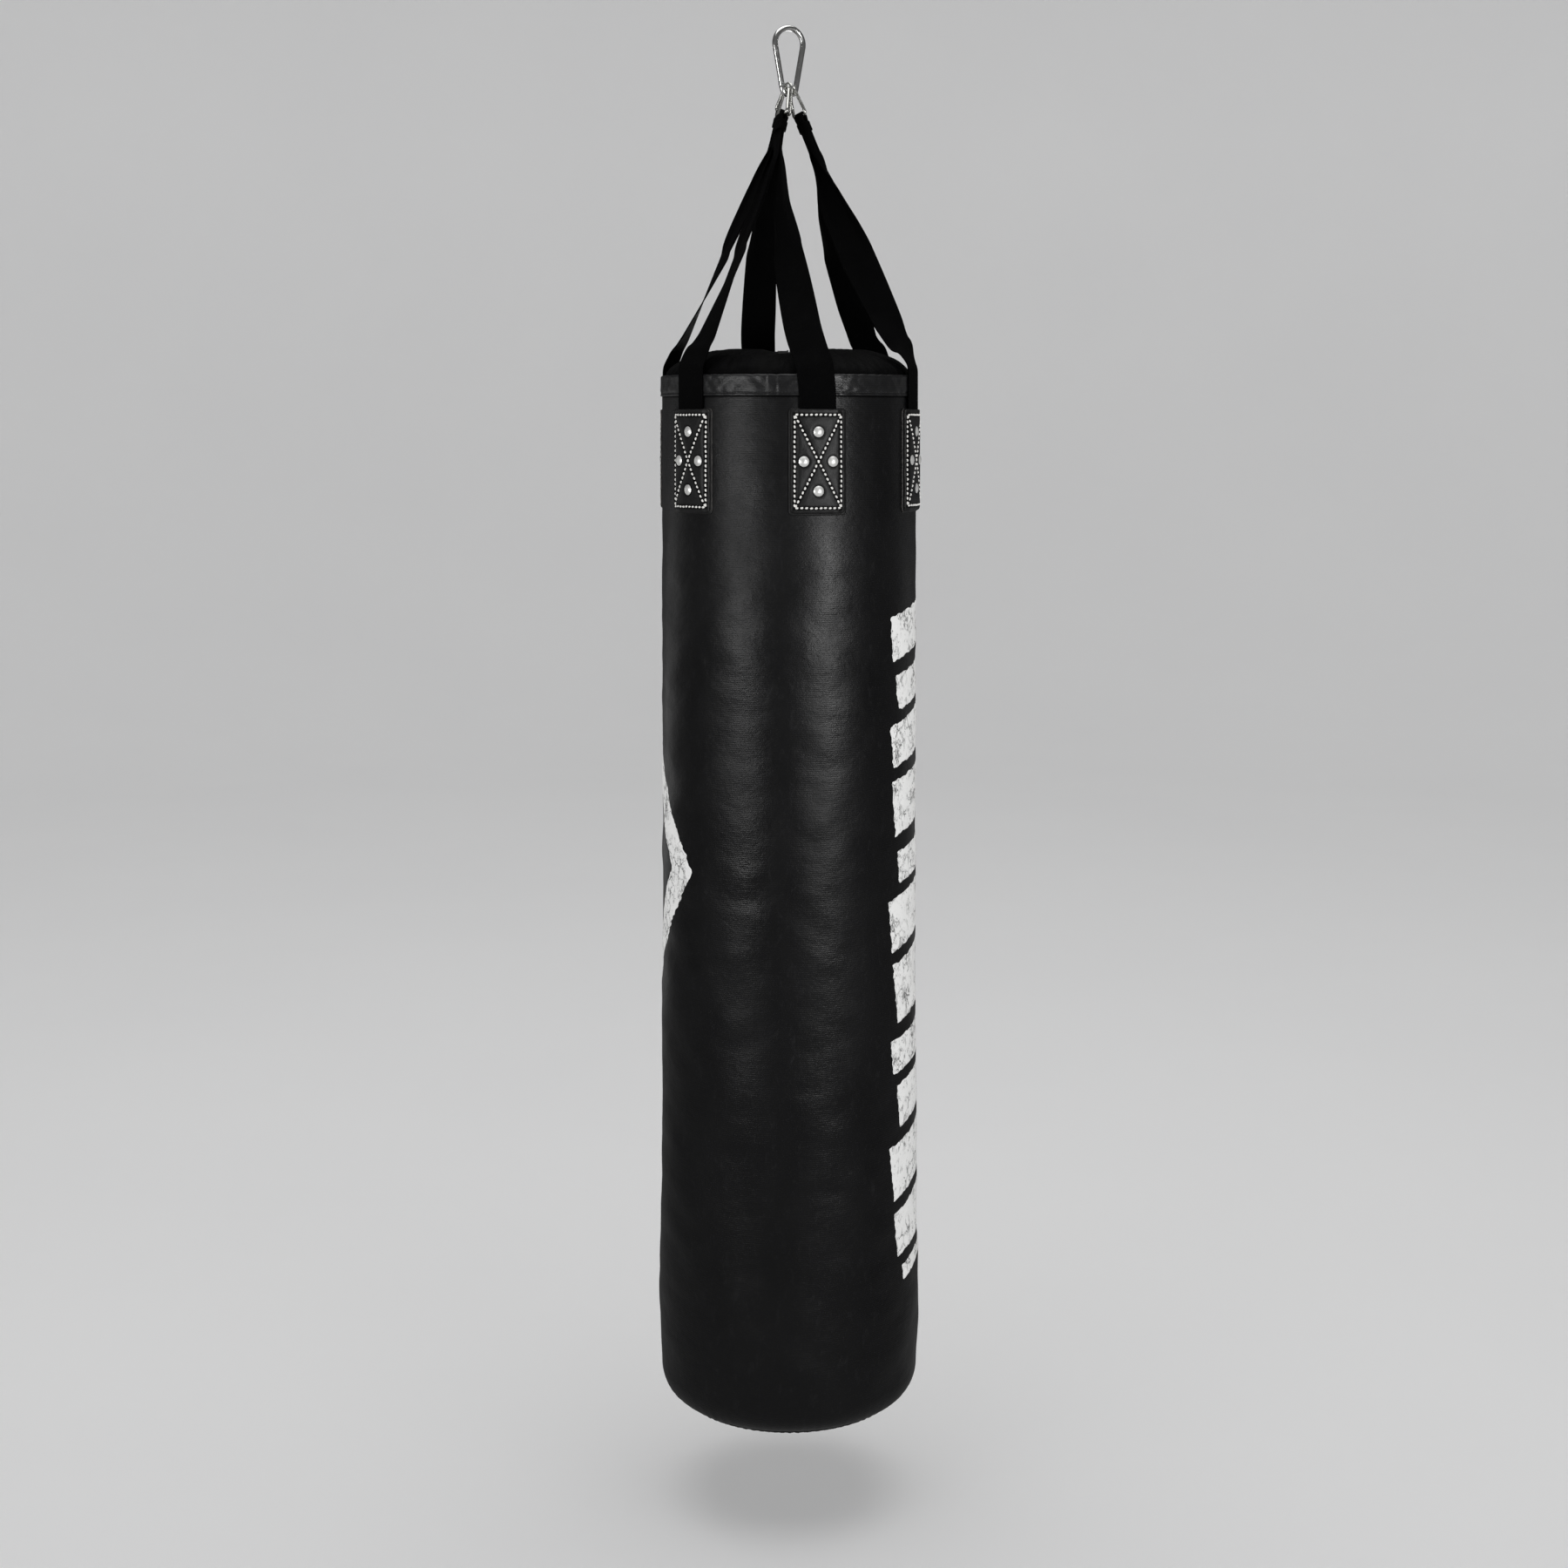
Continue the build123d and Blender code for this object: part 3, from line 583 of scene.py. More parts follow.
ZIP_METAL = metal_look("zip_metal", (0.16, 0.16, 0.17), 0.34, 0.8, (0.42, 0.42, 0.40))
ZIP_TAPE = cloth_look("zip_fabric", (0.004, 0.004, 0.004), (0.02, 0.02, 0.02), 0.8)
ZIP_NYLON = thread_look("zip_nylon", (0.006, 0.006, 0.006), (0.022, 0.022, 0.023), 0.6)
LINER_CLOTH = cloth_look("liner_fabric", (0.32, 0.33, 0.35), (0.62, 0.63, 0.65), 1.4)
SHREDS = shred_look()
PAPER = floor_look()

CAD_LOOKS = {
    "carabiner_body": HOOK_STEEL,
    "carabiner_gate": HOOK_STEEL,
    "gate_rivet": PIN_STEEL,
    "latch_pin": PIN_STEEL,
    "gate_plunger": PIN_STEEL,
    "gate_spring": PIN_STEEL,
    "ring_front": RING_STEEL,
    "ring_back": RING_STEEL,
    "ring_right": RING_STEEL,
    "patch_rivets": RIVET_STEEL,
    "rivet_burrs": RIVET_STEEL,
    "zip_slider": ZIP_METAL,
    "zip_pull": ZIP_METAL,
}


def paint_cad():
    """Gives the carried-over CAD nodes their metal."""
    for name, look in CAD_LOOKS.items():
        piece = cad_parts[name]
        piece.data.materials.clear()
        piece.data.materials.append(look)


# Bag wall, seam and bottom

def wall_radius(angle, z):
    return BAG_R + wall_relief(angle, z)


def corner_profile(steps):
    """Radius and height of the round bottom corner, from the sewn end up to the wall."""
    middle_r = BAG_R - CORNER_R
    part = np.linspace(-np.arccos((SEWN_END_R - middle_r) / CORNER_R), 0, steps)
    return middle_r + CORNER_R * np.cos(part), CORNER_Z + CORNER_R * np.sin(part)


def make_shell():
    """The bag's wall and its round bottom corner, gathered towards the bottom seam."""
    wall_rows, corner_rows = 204, 16
    angle = turns(216)
    corner_r, corner_z = corner_profile(corner_rows)
    wall_z = np.linspace(CORNER_Z, WALL_TOP_Z, wall_rows)[1:]
    z = np.concatenate([corner_z, wall_z])[:, None]
    radius = np.concatenate([corner_r, np.full(wall_rows - 1, BAG_R)])[:, None]
    gathered = smooth(z, CORNER_Z, BOTTOM_Z) * 0.5 * GATHERS(angle, z)
    radius = radius + wall_relief(angle, z) * smooth(z, BOTTOM_Z, BOTTOM_Z + 30) + gathered
    piece = add_grid("bag_shell", on_bag(angle, radius, z), BLACK_VINYL, close_cols=True)
    stand_in(thicken(piece, WALL_T), "shell")


def make_back_seam():
    """The wall's closing lap at the back, with its two rows of stitches."""
    rows, half_w = 170, 9.0
    across = np.array([-half_w, -half_w + 0.6, -6.4, -4.6, 0.0, 4.6, 6.4, half_w - 0.6, half_w])
    lift = np.array([0.0, 1.0, 0.75, 1.05, 1.1, 1.05, 0.75, 1.0, 0.0])
    z = np.linspace(CORNER_Z - 12, HEM_LOW_Z - 0.5, rows)[:, None]
    angle = SEAM_ANGLE + np.degrees(across / BAG_R)[None]
    pucker = 1 + 0.12 * np.sin(z / 7.3 * 2 * np.pi) * (np.abs(across[None]) < 7)
    drop = np.minimum(z - CORNER_Z, 0) ** 2 / (2 * CORNER_R)
    radius = wall_radius(angle, z) - drop + lift[None] * pucker
    piece = add_grid("back_seam_lap", on_bag(angle, radius, z), HEM_VINYL)
    thicken(piece, 0.9)
    levels = np.arange(CORNER_Z + 4, HEM_LOW_Z - 6, 4.4)
    marks = [(SEAM_ANGLE + np.degrees(side / BAG_R), z, 90.0) for side in (-5.6, 5.6) for z in levels]

    def lap_surface(where, height):
        return wall_radius(where, height) + 0.8

    sewn = stitches_on("back_seam_stitches", marks, lap_surface, BLACK_THREAD, 3.3, 0.42, 0.35)


def make_bottom():
    """The round bottom panel, slightly bellied."""
    panel_r, cols, rows = 146.4, 180, 22
    angle = turns(cols)
    part = np.linspace(0, 1, rows)[1:][:, None]
    belly = 1.9 * smooth(part, 0.55, 1.0) + 0.25 * (1 + LUMPS(angle, part * 300)) * (1 - part)
    puckers = 0.35 * GATHERS(angle, 0 * part) * smooth(part, 0.72, 1.0)
    height = np.maximum(BOTTOM_Z + 0.15 + belly + puckers, BOTTOM_Z)
    points = on_bag(angle, panel_r * part, height).reshape(-1, 3)
    faces = grid_faces(rows - 1, cols, close_cols=True).tolist()
    faces += [[c, (c + 1) % cols, len(points)] for c in range(cols)]
    middle = [[0, 0, BOTTOM_Z + 0.3]]
    piece = face_outwards(add_mesh("bag_bottom", np.concatenate([points, middle]), faces, BLACK_VINYL))
    if piece.data.polygons[0].normal.z > 0:
        piece.data.flip_normals()
    stand_in(thicken(piece, 1.4), "bottom_panel")


def make_piping():
    """The gathered piping sewn round the edge of the bottom panel."""
    middle_r, wire_r, cols, sides = 149.3, 2.2, 540, 14
    angle = turns(cols)
    around = (np.arange(sides) * 2 * np.pi / sides)[:, None]
    wire = wire_r * (1 + 0.10 * GATHERS(angle, 0.0) + 0.05 * np.sin(np.radians(angle) * 236))
    points = on_bag(angle, middle_r + wire * np.cos(around), BOTTOM_Z + 2.7 + wire * np.sin(around))
    piece = add_grid("bottom_piping", points, HEM_VINYL, close_rows=True, close_cols=True)
    stand_in(face_outwards(piece), "bottom_welt")


# Hem

def strap_clear(angle):
    """1 away from the straps, 0 under them."""
    clear = np.ones(np.shape(angle))
    for index in range(PATCH_COUNT):
        aside = np.abs(turn_between(angle, patch_angle(index)))
        clear = np.minimum(clear, smooth(aside, UNDER_STRAP, BESIDE_STRAP))
    return clear


def hem_relief(angle, z):
    """Wrinkles and the sewn overlap of the hem, outwards from its plain profile."""
    lap = smooth(angle, FOLD_START - 0.35, FOLD_START) * (1 - smooth(angle, FOLD_END - 0.5, FOLD_END + 0.9))
    low_half = smooth(z, HEM_TOP_Z - 9, HEM_LOW_Z + 3)
    puckered = smooth(angle, *PUCKERS[:2]) * (1 - smooth(angle, *PUCKERS[2:])) * low_half
    seam = smooth(np.abs(turn_between(angle, SEAM_ANGLE)), 3.4, 2.6)
    loose = 0.24 * HEM_FOLDS(angle, z) + 0.12 * HEM_CREASES(angle, z)
    return lap + seam * 0.9 + loose + puckered * 0.55 * HEM_CREASES(angle * 0.8, z * 1.4)


# The hem's closed section as radius and height: round the outside, over the top and up the inside.
HEM_PROFILE = [
    (178.2, -514.0), (179.4, -513.9), (179.95, -513.0), (179.9, -511.6), (179.35, -510.2), (179.3, -509.2),
    (179.75, -507.8), (180.05, -506.0), (180.1, -503.0), (179.95, -499.0), (179.85, -495.0), (179.9, -491.5),
    (180.1, -489.3), (180.1, -487.6), (179.6, -486.2), (178.6, -485.4), (177.4, -485.1), (176.1, -485.3),
    (175.2, -486.2), (174.8, -488.0), (174.75, -496.0), (174.75, -506.0), (174.8, -513.2), (175.4, -514.0),
    (176.3, -513.8), (176.4, -506.0), (176.4, -496.0), (176.6, -487.4), (177.9, -487.1), (178.15, -492.0),
    (178.15, -503.0),
]


def make_hem():
    """The folded rim hem, with its wrinkles and its row of stitches."""
    cols = 720
    angle = turn_between(turns(cols), 0)
    closed = np.array(HEM_PROFILE + HEM_PROFILE[:1])
    corners = len(HEM_PROFILE)
    finer = np.linspace(0, corners, 2 * corners, endpoint=False)
    radius = np.interp(finer, np.arange(corners + 1), closed[:, 0])[:, None]
    z = np.interp(finer, np.arange(corners + 1), closed[:, 1])[:, None]
    relief = hem_relief(angle, z) * strap_clear(angle) * smooth(radius, 178.4, 179.3)
    lift = 0.35 * HEM_FOLDS(angle, 0 * z) * smooth(z, HEM_TOP_Z - 8, HEM_TOP_Z) * strap_clear(angle)
    points = on_bag(angle, radius + relief, z + np.minimum(lift, 0.1))
    piece = add_grid("rim_hem", points, HEM_VINYL, close_rows=True, close_cols=True)
    stand_in(face_outwards(piece), "hem_band")
    places = turn_between(np.arange(0, 360, 360 / HEM_STITCHES), 0)
    marks = [(place, HEM_STITCH_Z, 0.0) for place in places if strap_clear(place) > 0.9]

    def groove(where, height):
        return HEM_GROOVE_R + hem_relief(where, height)

    sewn = stitches_on("rim_stitches", marks, groove, BLACK_THREAD, 3.4, 0.42, 0.3)


# Cover, with its cloth pass

def crown_height(radius):
    """Height of the cover's plain dome at a radius."""
    crown = CROWN_Z - CROWN_R + np.sqrt(CROWN_R**2 - np.minimum(radius, SHOULDER_START_R) ** 2)
    lean = np.arcsin(SHOULDER_START_R / CROWN_R)
    round_r = (COVER_R - SHOULDER_START_R) / (1 - np.sin(lean))
    middle_r = COVER_R - round_r
    middle_z = CROWN_Z - CROWN_R + (CROWN_R - round_r) * np.cos(lean)
    reach = np.clip(radius - middle_r, 0, round_r)
    shoulder = middle_z + np.sqrt(np.maximum(round_r**2 - reach**2, 0))
    return np.where(radius <= SHOULDER_START_R, crown, shoulder)


def cover_section():
    """Radius and height of each row of the cover, from the foot of its collar to the crown."""
    collar_z = np.array([-513.0, -506.0, -499.0, -493.0, -489.0])
    lean = np.linspace(0, 1, 10)[1:]
    shoulder_r = COVER_R - (COVER_R - SHOULDER_START_R) * (1 - np.cos(lean * np.pi / 2)) - 0.15
    flat_r = np.linspace(SHOULDER_START_R, 4.0, 20)[1:]
    radius = np.concatenate([np.full(len(collar_z), COVER_R), shoulder_r, flat_r])
    z = np.concatenate([collar_z, crown_height(shoulder_r), crown_height(flat_r)])
    return radius[:, None], z[:, None]


def cloth_swell(piece, pinned, reach, frames=20):
    """Runs the cloth pass on a piece and returns how far each point moved, in millimetres."""
    rest = np.array([point.co for point in piece.data.vertices])
    group = piece.vertex_groups.new(name="pinned")
    group.add(np.flatnonzero(pinned).tolist(), 1.0, "REPLACE")
    cloth = piece.modifiers.new("swell", "CLOTH")
    settings = cloth.settings
    settings.vertex_group_mass = "pinned"
    settings.quality = 6
    settings.mass = 0.25
    settings.use_pressure = True
    settings.uniform_pressure_force = 3.5
    settings.shrink_min = -0.035
    settings.bending_stiffness = 1.2
    settings.effector_weights.gravity = 0
    cloth.collision_settings.use_collision = False
    cloth.point_cache.frame_start = 1
    cloth.point_cache.frame_end = frames
    for step in range(1, frames + 1):
        bpy.context.scene.frame_set(step)
    swollen = piece.evaluated_get(bpy.context.evaluated_depsgraph_get()).data
    moved = (np.array([point.co for point in swollen.vertices]) - rest) / MM
    piece.modifiers.remove(cloth)
    bpy.context.scene.frame_set(1)
    length = np.linalg.norm(moved, axis=1, keepdims=True)
    return moved * np.minimum(1, reach / np.maximum(length, 1e-9))


def cut_slot(piece):
    """Opens the cover under the zip."""
    shape = bmesh.new()
    shape.from_mesh(piece.data)
    cuts = [((ZIP_HALF_GAP, 0), (1, 0)), ((-ZIP_HALF_GAP, 0), (1, 0)), ((0, ZIP_HALF_L), (0, 1)),
            ((0, -ZIP_HALF_L), (0, 1))]
    for place, facing in cuts:
        parts = shape.verts[:] + shape.edges[:] + shape.faces[:]
        bmesh.ops.bisect_plane(shape, geom=parts, plane_co=(place[0] * MM, place[1] * MM, 0),
                               plane_no=(*facing, 0), dist=1e-6)
    inside = []
    for face in shape.faces:
        middle = face.calc_center_median() / MM
        if abs(middle.x) < ZIP_HALF_GAP and abs(middle.y) < ZIP_HALF_L:
            inside.append(face)
    bmesh.ops.delete(shape, geom=inside, context="FACES")
    shape.to_mesh(piece.data)
    shape.free()
    piece.data.shade_smooth()


def make_cover():
    """The domed cloth cover: gathered at its edge, swollen by the cloth pass away from the zip, and slit."""
    cols = 240
    angle = turn_between(turns(cols), 0)
    radius, z = cover_section()
    gather = smooth(radius, 118, 168) * smooth(z, -500, -488)
    pleats = gather * (0.55 * GATHERS(angle, 0) + 0.5 * HEM_FOLDS(angle, 0 * radius))
    slack = gather * (1 - smooth(radius, 150, 174))
    points = on_bag(angle, radius, z + pleats * 0.9 - slack * 0.6).reshape(-1, 3)
    last = len(points) - cols
    faces = grid_faces(len(radius), cols, close_cols=True).tolist()
    faces += [[last + c, last + (c + 1) % cols, len(points)] for c in range(cols)]
    points = np.concatenate([points, [[0, 0, CROWN_Z]]])
    piece = add_mesh("top_cover_cloth", points, faces, COVER_CLOTH)
    moved = cloth_swell(piece, points[:, 2] < PINNED_Z, SWELL_REACH)
    away = smooth(np.abs(points[:, 0]), 20, 48) + smooth(np.abs(points[:, 1]), 128, 146)
    points = points + moved * np.clip(away, 0, 1)[:, None] * SWELL_SHARE
    reach = np.hypot(points[:, 0], points[:, 1])
    outside = np.maximum(reach / COVER_R, 1)[:, None]
    points[:, :2] /= outside
    points[:, 2] = np.minimum(points[:, 2], CROWN_Z + 2.5)
    piece.data.vertices.foreach_set("co", (points * MM).ravel())
    piece.data.update()
    cut_slot(piece)
    stand_in(thicken(piece, COVER_T), "top_cover")


# Zip

def on_crown(x, y, lift):
    """Points over the zip's arc: x across, y along the arc, at a lift above the crown."""
    x, y, lift = np.broadcast_arrays(x, y, lift)
    turn = y / CROWN_R
    reach = CROWN_R + lift
    return np.stack([x, reach * np.sin(turn), CROWN_Z - CROWN_R + reach * np.cos(turn)], axis=-1)


def make_zip_tape(side, word):
    """Woven tape beside the coil, folded under at its outer edge."""
    across = np.array([3.0, 4.0, 6.0, 9.0, 11.8, 13.0, 14.2, 15.6, 16.0])
    level = np.array([0.85, 0.9, 0.85, 0.8, 0.82, 0.55, 0.82, 0.85, 0.45])
    y = np.linspace(-ZIP_HALF_L, ZIP_HALF_L, 160)[:, None]
    wavy = 0.12 * np.sin(y / 9.0) * (across > 9) + 0.10 * np.sin(y / 4.1 + across)
    edge = (0.35 * np.sin(y / 13.0) + 0.2 * np.sin(y / 5.3)) * (across > 12.5)
    points = on_crown(side * (across - np.abs(edge)), y, level + wavy * 0.6)
    tape = add_grid(f"zip_tape_{word}", points[::side], ZIP_TAPE)
    stand_in(thicken(tape, 0.6), "zip_tapes")


def make_zip_coil(side, word):
    """One side's coil, a flattened helix that lies along the crown."""
    turns, sides, wire_r, coil_half_l = 190, 6, 0.27, 122
    part = np.linspace(0, turns * 2 * np.pi, turns * 10)[:, None]
    around = np.arange(sides) * 2 * np.pi / sides
    outwards = wire_r * np.cos(around)
    x = side * (1.85 + (0.95 + outwards) * np.cos(part))
    lift = 1.0 + (0.75 + outwards) * np.sin(part)
    y = np.linspace(-coil_half_l, coil_half_l, turns * 10)[:, None] + wire_r * np.sin(around)
    coil = add_grid(f"zip_coil_{word}", on_crown(x, y, lift), ZIP_NYLON, close_cols=True)
    stand_in(face_outwards(coil), "zip_coils")


def make_zip_stitches():
    """A row of stitches along each tape."""
    shape, faces = thread_shape(2.6, 0.3, 0.25)
    levels = np.arange(-120, 121, 3.6)
    middle = np.repeat([-13.0, 13.0], len(levels))[:, None]
    along = np.tile(levels, 2)[:, None]
    points = on_crown(middle + shape[:, 1], along + shape[:, 0], 0.72 + shape[:, 2])
    sewn = add_mesh("zip_stitches", points, repeat_shape(len(shape), faces, len(along)), BLACK_THREAD)


# Straps

def unit(vectors):
    """Vectors brought to length 1."""
    return vectors / np.maximum(np.linalg.norm(vectors, axis=-1, keepdims=True), 1e-9)


def ring_bar(name):
    """Middle and direction of a ring's bar, from the ring's own mesh."""
    points = np.array([point.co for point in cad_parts["ring_" + name].data.vertices]) / MM
    spread = points - points.mean(axis=0)
    long_axis, bar, _ = np.linalg.svd(spread, full_matrices=False)[2]
    low = spread @ long_axis * -np.sign(long_axis[2])
    return points[low > low.max() - RING_BAR_T].mean(axis=0), bar


def strap_end(index):
    """Where a leg of the straps meets the rim."""
    return on_bag(patch_angle(index), STRAP_R, RIM_TOUCH_Z)


def loop_frame(name):
    """Middle of the bar, its direction, the way down the folded webbing and the way between the legs."""
    centre, bar = ring_bar(name)
    first, second = LOOPS[name]
    down = (strap_end(first) + strap_end(second)) / 2 - centre
    down = unit(down - bar * (bar @ down))
    return centre, bar, down, np.cross(down, bar)


def resample(path, spacing):
    """The same path with its points at an even spacing."""
    gaps = np.linalg.norm(np.diff(path, axis=0), axis=1)
    reach = np.concatenate([[0], np.cumsum(gaps)])
    even = np.linspace(0, reach[-1], int(reach[-1] / spacing) + 1)
    return np.stack([np.interp(even, reach, path[:, axis]) for axis in range(3)], -1)


def soften(values, times):
    """Evens out a row of values without moving its ends."""
    for _ in range(times):
        values[1:-1] = (values[:-2] + 2 * values[1:-1] + values[2:]) / 4
    return values


def leg_path(name, index):
    """Middle line of half a loop: over the bar, down the bundle, down the leg and down the bag."""
    centre, _, down, aside = loop_frame(name)
    side = 1 if (strap_end(index) - centre) @ aside > 0 else -1
    eye_r = BAR_CLEAR + WEB_T / 2
    part = np.linspace(0, np.pi / 2, 9)
    arc = centre + eye_r * (np.cos(part)[:, None] * -down + np.sin(part)[:, None] * side * aside)
    closed = WEB_T / 2 + 0.1
    run = [(4.0, eye_r * 0.95), (9.0, closed + 0.15), (16.0, closed), (BUNDLE_L, closed)]
    bundle = [centre + down * depth + side * aside * gap for depth, gap in run]
    tail = on_bag(patch_angle(index), STRAP_R, np.linspace(RIM_TOUCH_Z, TAIL_END_Z, 30))
    path = resample(np.vstack([arc, bundle, tail]), 2.0)
    share = (bundle[-1][2] - path[:, 2]) / (bundle[-1][2] - RIM_TOUCH_Z)
    bow, fade, stop = LEG_BOW[index]
    straight_r = np.hypot(path[:, 0], path[:, 1])
    path[:, 0] += bow * smooth(share, 0.0, 0.3) * smooth(share, stop, fade)
    bowed_r = np.maximum(np.hypot(path[:, 0], path[:, 1]), 1.0)
    path[:, :2] *= np.where(share > 0.9, np.maximum(straight_r / bowed_r, 1), 1)[:, None]
    return soften(path, 8), side


def webbing_section(flap, squeeze):
    """Half of the webbing's cross-section: its place across and out at each column, one flap folded."""
    reach = np.linspace(0, WEB_W / 2, 200)
    lean = np.radians(flap) * smooth(reach, FLAP_AT - FLAP_BEND, FLAP_AT + FLAP_BEND)
    step = reach[1] - reach[0]
    across = np.concatenate([[0], np.cumsum(np.cos(lean[1:])) * step]) * squeeze
    flatten = 1 - FLAP_FLATTEN * np.sin(np.radians(flap))
    out = np.concatenate([[0], np.cumsum(np.sin(lean[1:])) * step]) * flatten
    picked = np.linspace(0, WEB_W / 2, HALF_COLUMNS)
    return np.interp(picked, reach, across), np.interp(picked, reach, out)


def leg_normals(name, index, path, side, tangent, share):
    """The way the webbing's outer face looks along half a loop."""
    centre, bar, down, aside = loop_frame(name)
    radial = path - centre
    radial = unit(radial - (radial @ bar)[:, None] * bar)
    past_eye = smooth((path - centre) @ down, 1.0, 6.0)[:, None]
    on_leg = smooth(share, 0.0, 0.16)[:, None]
    shares, turns = zip(*LEG_TWIST[index])
    facing = on_bag(np.interp(share, shares, turns), 1.0, 0.0)
    normal = radial * (1 - past_eye) + side * aside * past_eye
    normal = normal * (1 - on_leg) + facing * on_leg
    normal = soften(normal, 12)
    return unit(normal - tangent * (normal * tangent).sum(-1, keepdims=True))


def webbing_rows(name, index):
    """Rows of points across the webbing along half a loop."""
    centre, bar, down, _ = loop_frame(name)
    path, side = leg_path(name, index)
    tangent = unit(np.gradient(path, axis=0))
    start_z = (centre + down * BUNDLE_L)[2]
    way_down = (start_z - path[:, 2]) / (start_z - RIM_TOUCH_Z)
    share = np.clip(way_down, 0, 1)
    normal = leg_normals(name, index, path, side, tangent, share)
    across = np.cross(normal, tangent)
    across *= np.sign(across[0] @ bar)
    opened = 2 * np.sqrt(np.clip((way_down + 0.04) / 0.5, 0, 1)) - 1
    flaps = soften(np.degrees(np.arccos(opened)), 10)
    squeezes = 0.86 + 0.14 * smooth(share, 0.0, 0.2)
    rows = []
    for spot, way, out_way, flap, squeeze in zip(path, across, normal, flaps, squeezes):
        x, out = webbing_section(flap, squeeze)
        x = np.concatenate([-x[:0:-1], x])
        out = np.concatenate([out[:0:-1], out])
        rows.append(spot + x[:, None] * way + out[:, None] * out_way)
    rows = np.array(rows)
    on_wall = smooth(rows[..., 2].mean(axis=1), RIM_TOUCH_Z + 38, RIM_TOUCH_Z)[:, None, None]
    columns = np.linspace(-1, 1, rows.shape[1])
    sense = np.sign(across[-1] @ on_bag(patch_angle(index) + 90, 1.0, 0.0))
    reach = np.hypot(path[:, 0], path[:, 1])[:, None]
    turn = np.degrees(np.arctan2(path[:, :1], -path[:, 1:2]) + columns * WEB_W / 2 / STRAP_R * sense)
    return rows * (1 - on_wall) + on_bag(turn, reach, rows[..., 2]) * on_wall


def add_weave_map(piece, across, along):
    """A map of millimetres across and along the webbing at each point, for its weave."""
    corners = np.zeros(len(piece.data.loops), dtype=np.int32)
    piece.data.loops.foreach_get("vertex_index", corners)
    places = np.stack(np.broadcast_arrays(across, along), -1).reshape(-1, 2)
    layer = piece.data.uv_layers.new(name="Weave")
    layer.data.foreach_set("uv", (places[corners] * MM).ravel())


def make_strap(name):
    """One loop of webbing: two legs joined over the ring's bar."""
    first, second = [webbing_rows(name, index) for index in LOOPS[name]]
    edge = first[0, 0]
    if np.linalg.norm(edge - second[0, 0]) > np.linalg.norm(edge - second[0, -1]):
        second = second[:, ::-1]
    top = (first[:1] + second[:1]) / 2
    rows = np.concatenate([first[:0:-1], top, second[1:]])
    middle = rows[:, rows.shape[1] // 2]
    lengths = np.concatenate([[0], np.cumsum(np.linalg.norm(np.diff(middle, axis=0), axis=1))])
    piece = add_grid("webbing_" + name, rows, WEBBING, body=None)
    add_weave_map(piece, np.linspace(-WEB_W / 2, WEB_W / 2, rows.shape[1])[None], lengths[:, None])
    stand_in(thicken(piece, WEB_T, 0.0), "strap_" + name)
    bend(piece)


def bend(piece):
    """Bakes a piece's placement into its mesh."""
    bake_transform(piece)


def make_keeper(name):
    """Band of webbing sewn round the folded part of a loop, its end lapped."""
    centre, bar, down, aside = loop_frame(name)
    half_w, half_t, cols, power = FOLD_HALF_W + 0.9, 2 * WEB_T + 0.9, 72, 0.42
    part = np.arange(cols) * 2 * np.pi / cols
    x = half_w * np.sign(np.cos(part)) * np.abs(np.cos(part)) ** power
    y = half_t * np.sign(np.sin(part)) * np.abs(np.sin(part)) ** power
    depth = np.array([9.6, 10.0, 11.2, 13.5, 17.0, 20.5, 22.8, 24.0, 24.4])[:, None]
    puff = np.array([-0.5, 0.1, 0.45, 0.55, 0.35, 0.55, 0.45, 0.1, -0.5])[:, None]
    lap = smooth(np.cos(part - 0.9), 0.72, 0.80) * 1.3
    out = unit(np.stack([x * half_t, y * half_w], -1))
    grow = 0.8 + puff + lap + 0.15 * np.sin(part * 7 + 1.3) * np.sin(depth / 2.2)
    spread_x = (x + out[:, 0] * grow)[..., None] * bar
    spread_y = (y + out[:, 1] * grow)[..., None] * aside
    lower = (depth + 0.5 * np.sin(part))[..., None] * down
    points = centre + spread_x + spread_y + lower
    piece = add_grid("keeper_band_" + name, points, WEBBING, body=None, close_cols=True)
    add_weave_map(piece, (depth - depth.mean()) * 3, np.arange(cols)[None] * 66.0 / cols)
    face_outwards(piece)
    stand_in(thicken(piece, 1.5), "keeper_" + name)
    bend(piece)


# Patches

def patch_seams(u, v):
    """Distance to the nearest seam of a patch's crossed box, and to the box itself, below 0 inside it."""
    box = np.maximum(np.abs(u) - STITCH_BOX_W / 2, np.abs(v) - STITCH_BOX_H / 2)
    lean = STITCH_BOX_H / STITCH_BOX_W
    cross = np.abs(np.abs(v) - np.abs(u) * lean) / np.sqrt(1 + lean**2)
    return np.minimum(np.abs(box), np.where(box < 0, cross, np.inf)), box


def near_rivets(u, v, inner, outer):
    """1 up to an inner distance from a rivet's middle, fading to 0 at an outer one."""
    near = np.zeros(np.broadcast(u, v).shape)
    for du, dv in RIVET_PLACES:
        near = np.maximum(near, 1 - smooth(np.hypot(u - du, v - dv), inner, outer))
    return near


def patch_rim(u, v):
    """Distance inwards from a patch's edge."""
    return np.minimum(PATCH_W / 2 - np.abs(u), PATCH_H / 2 - np.abs(v))


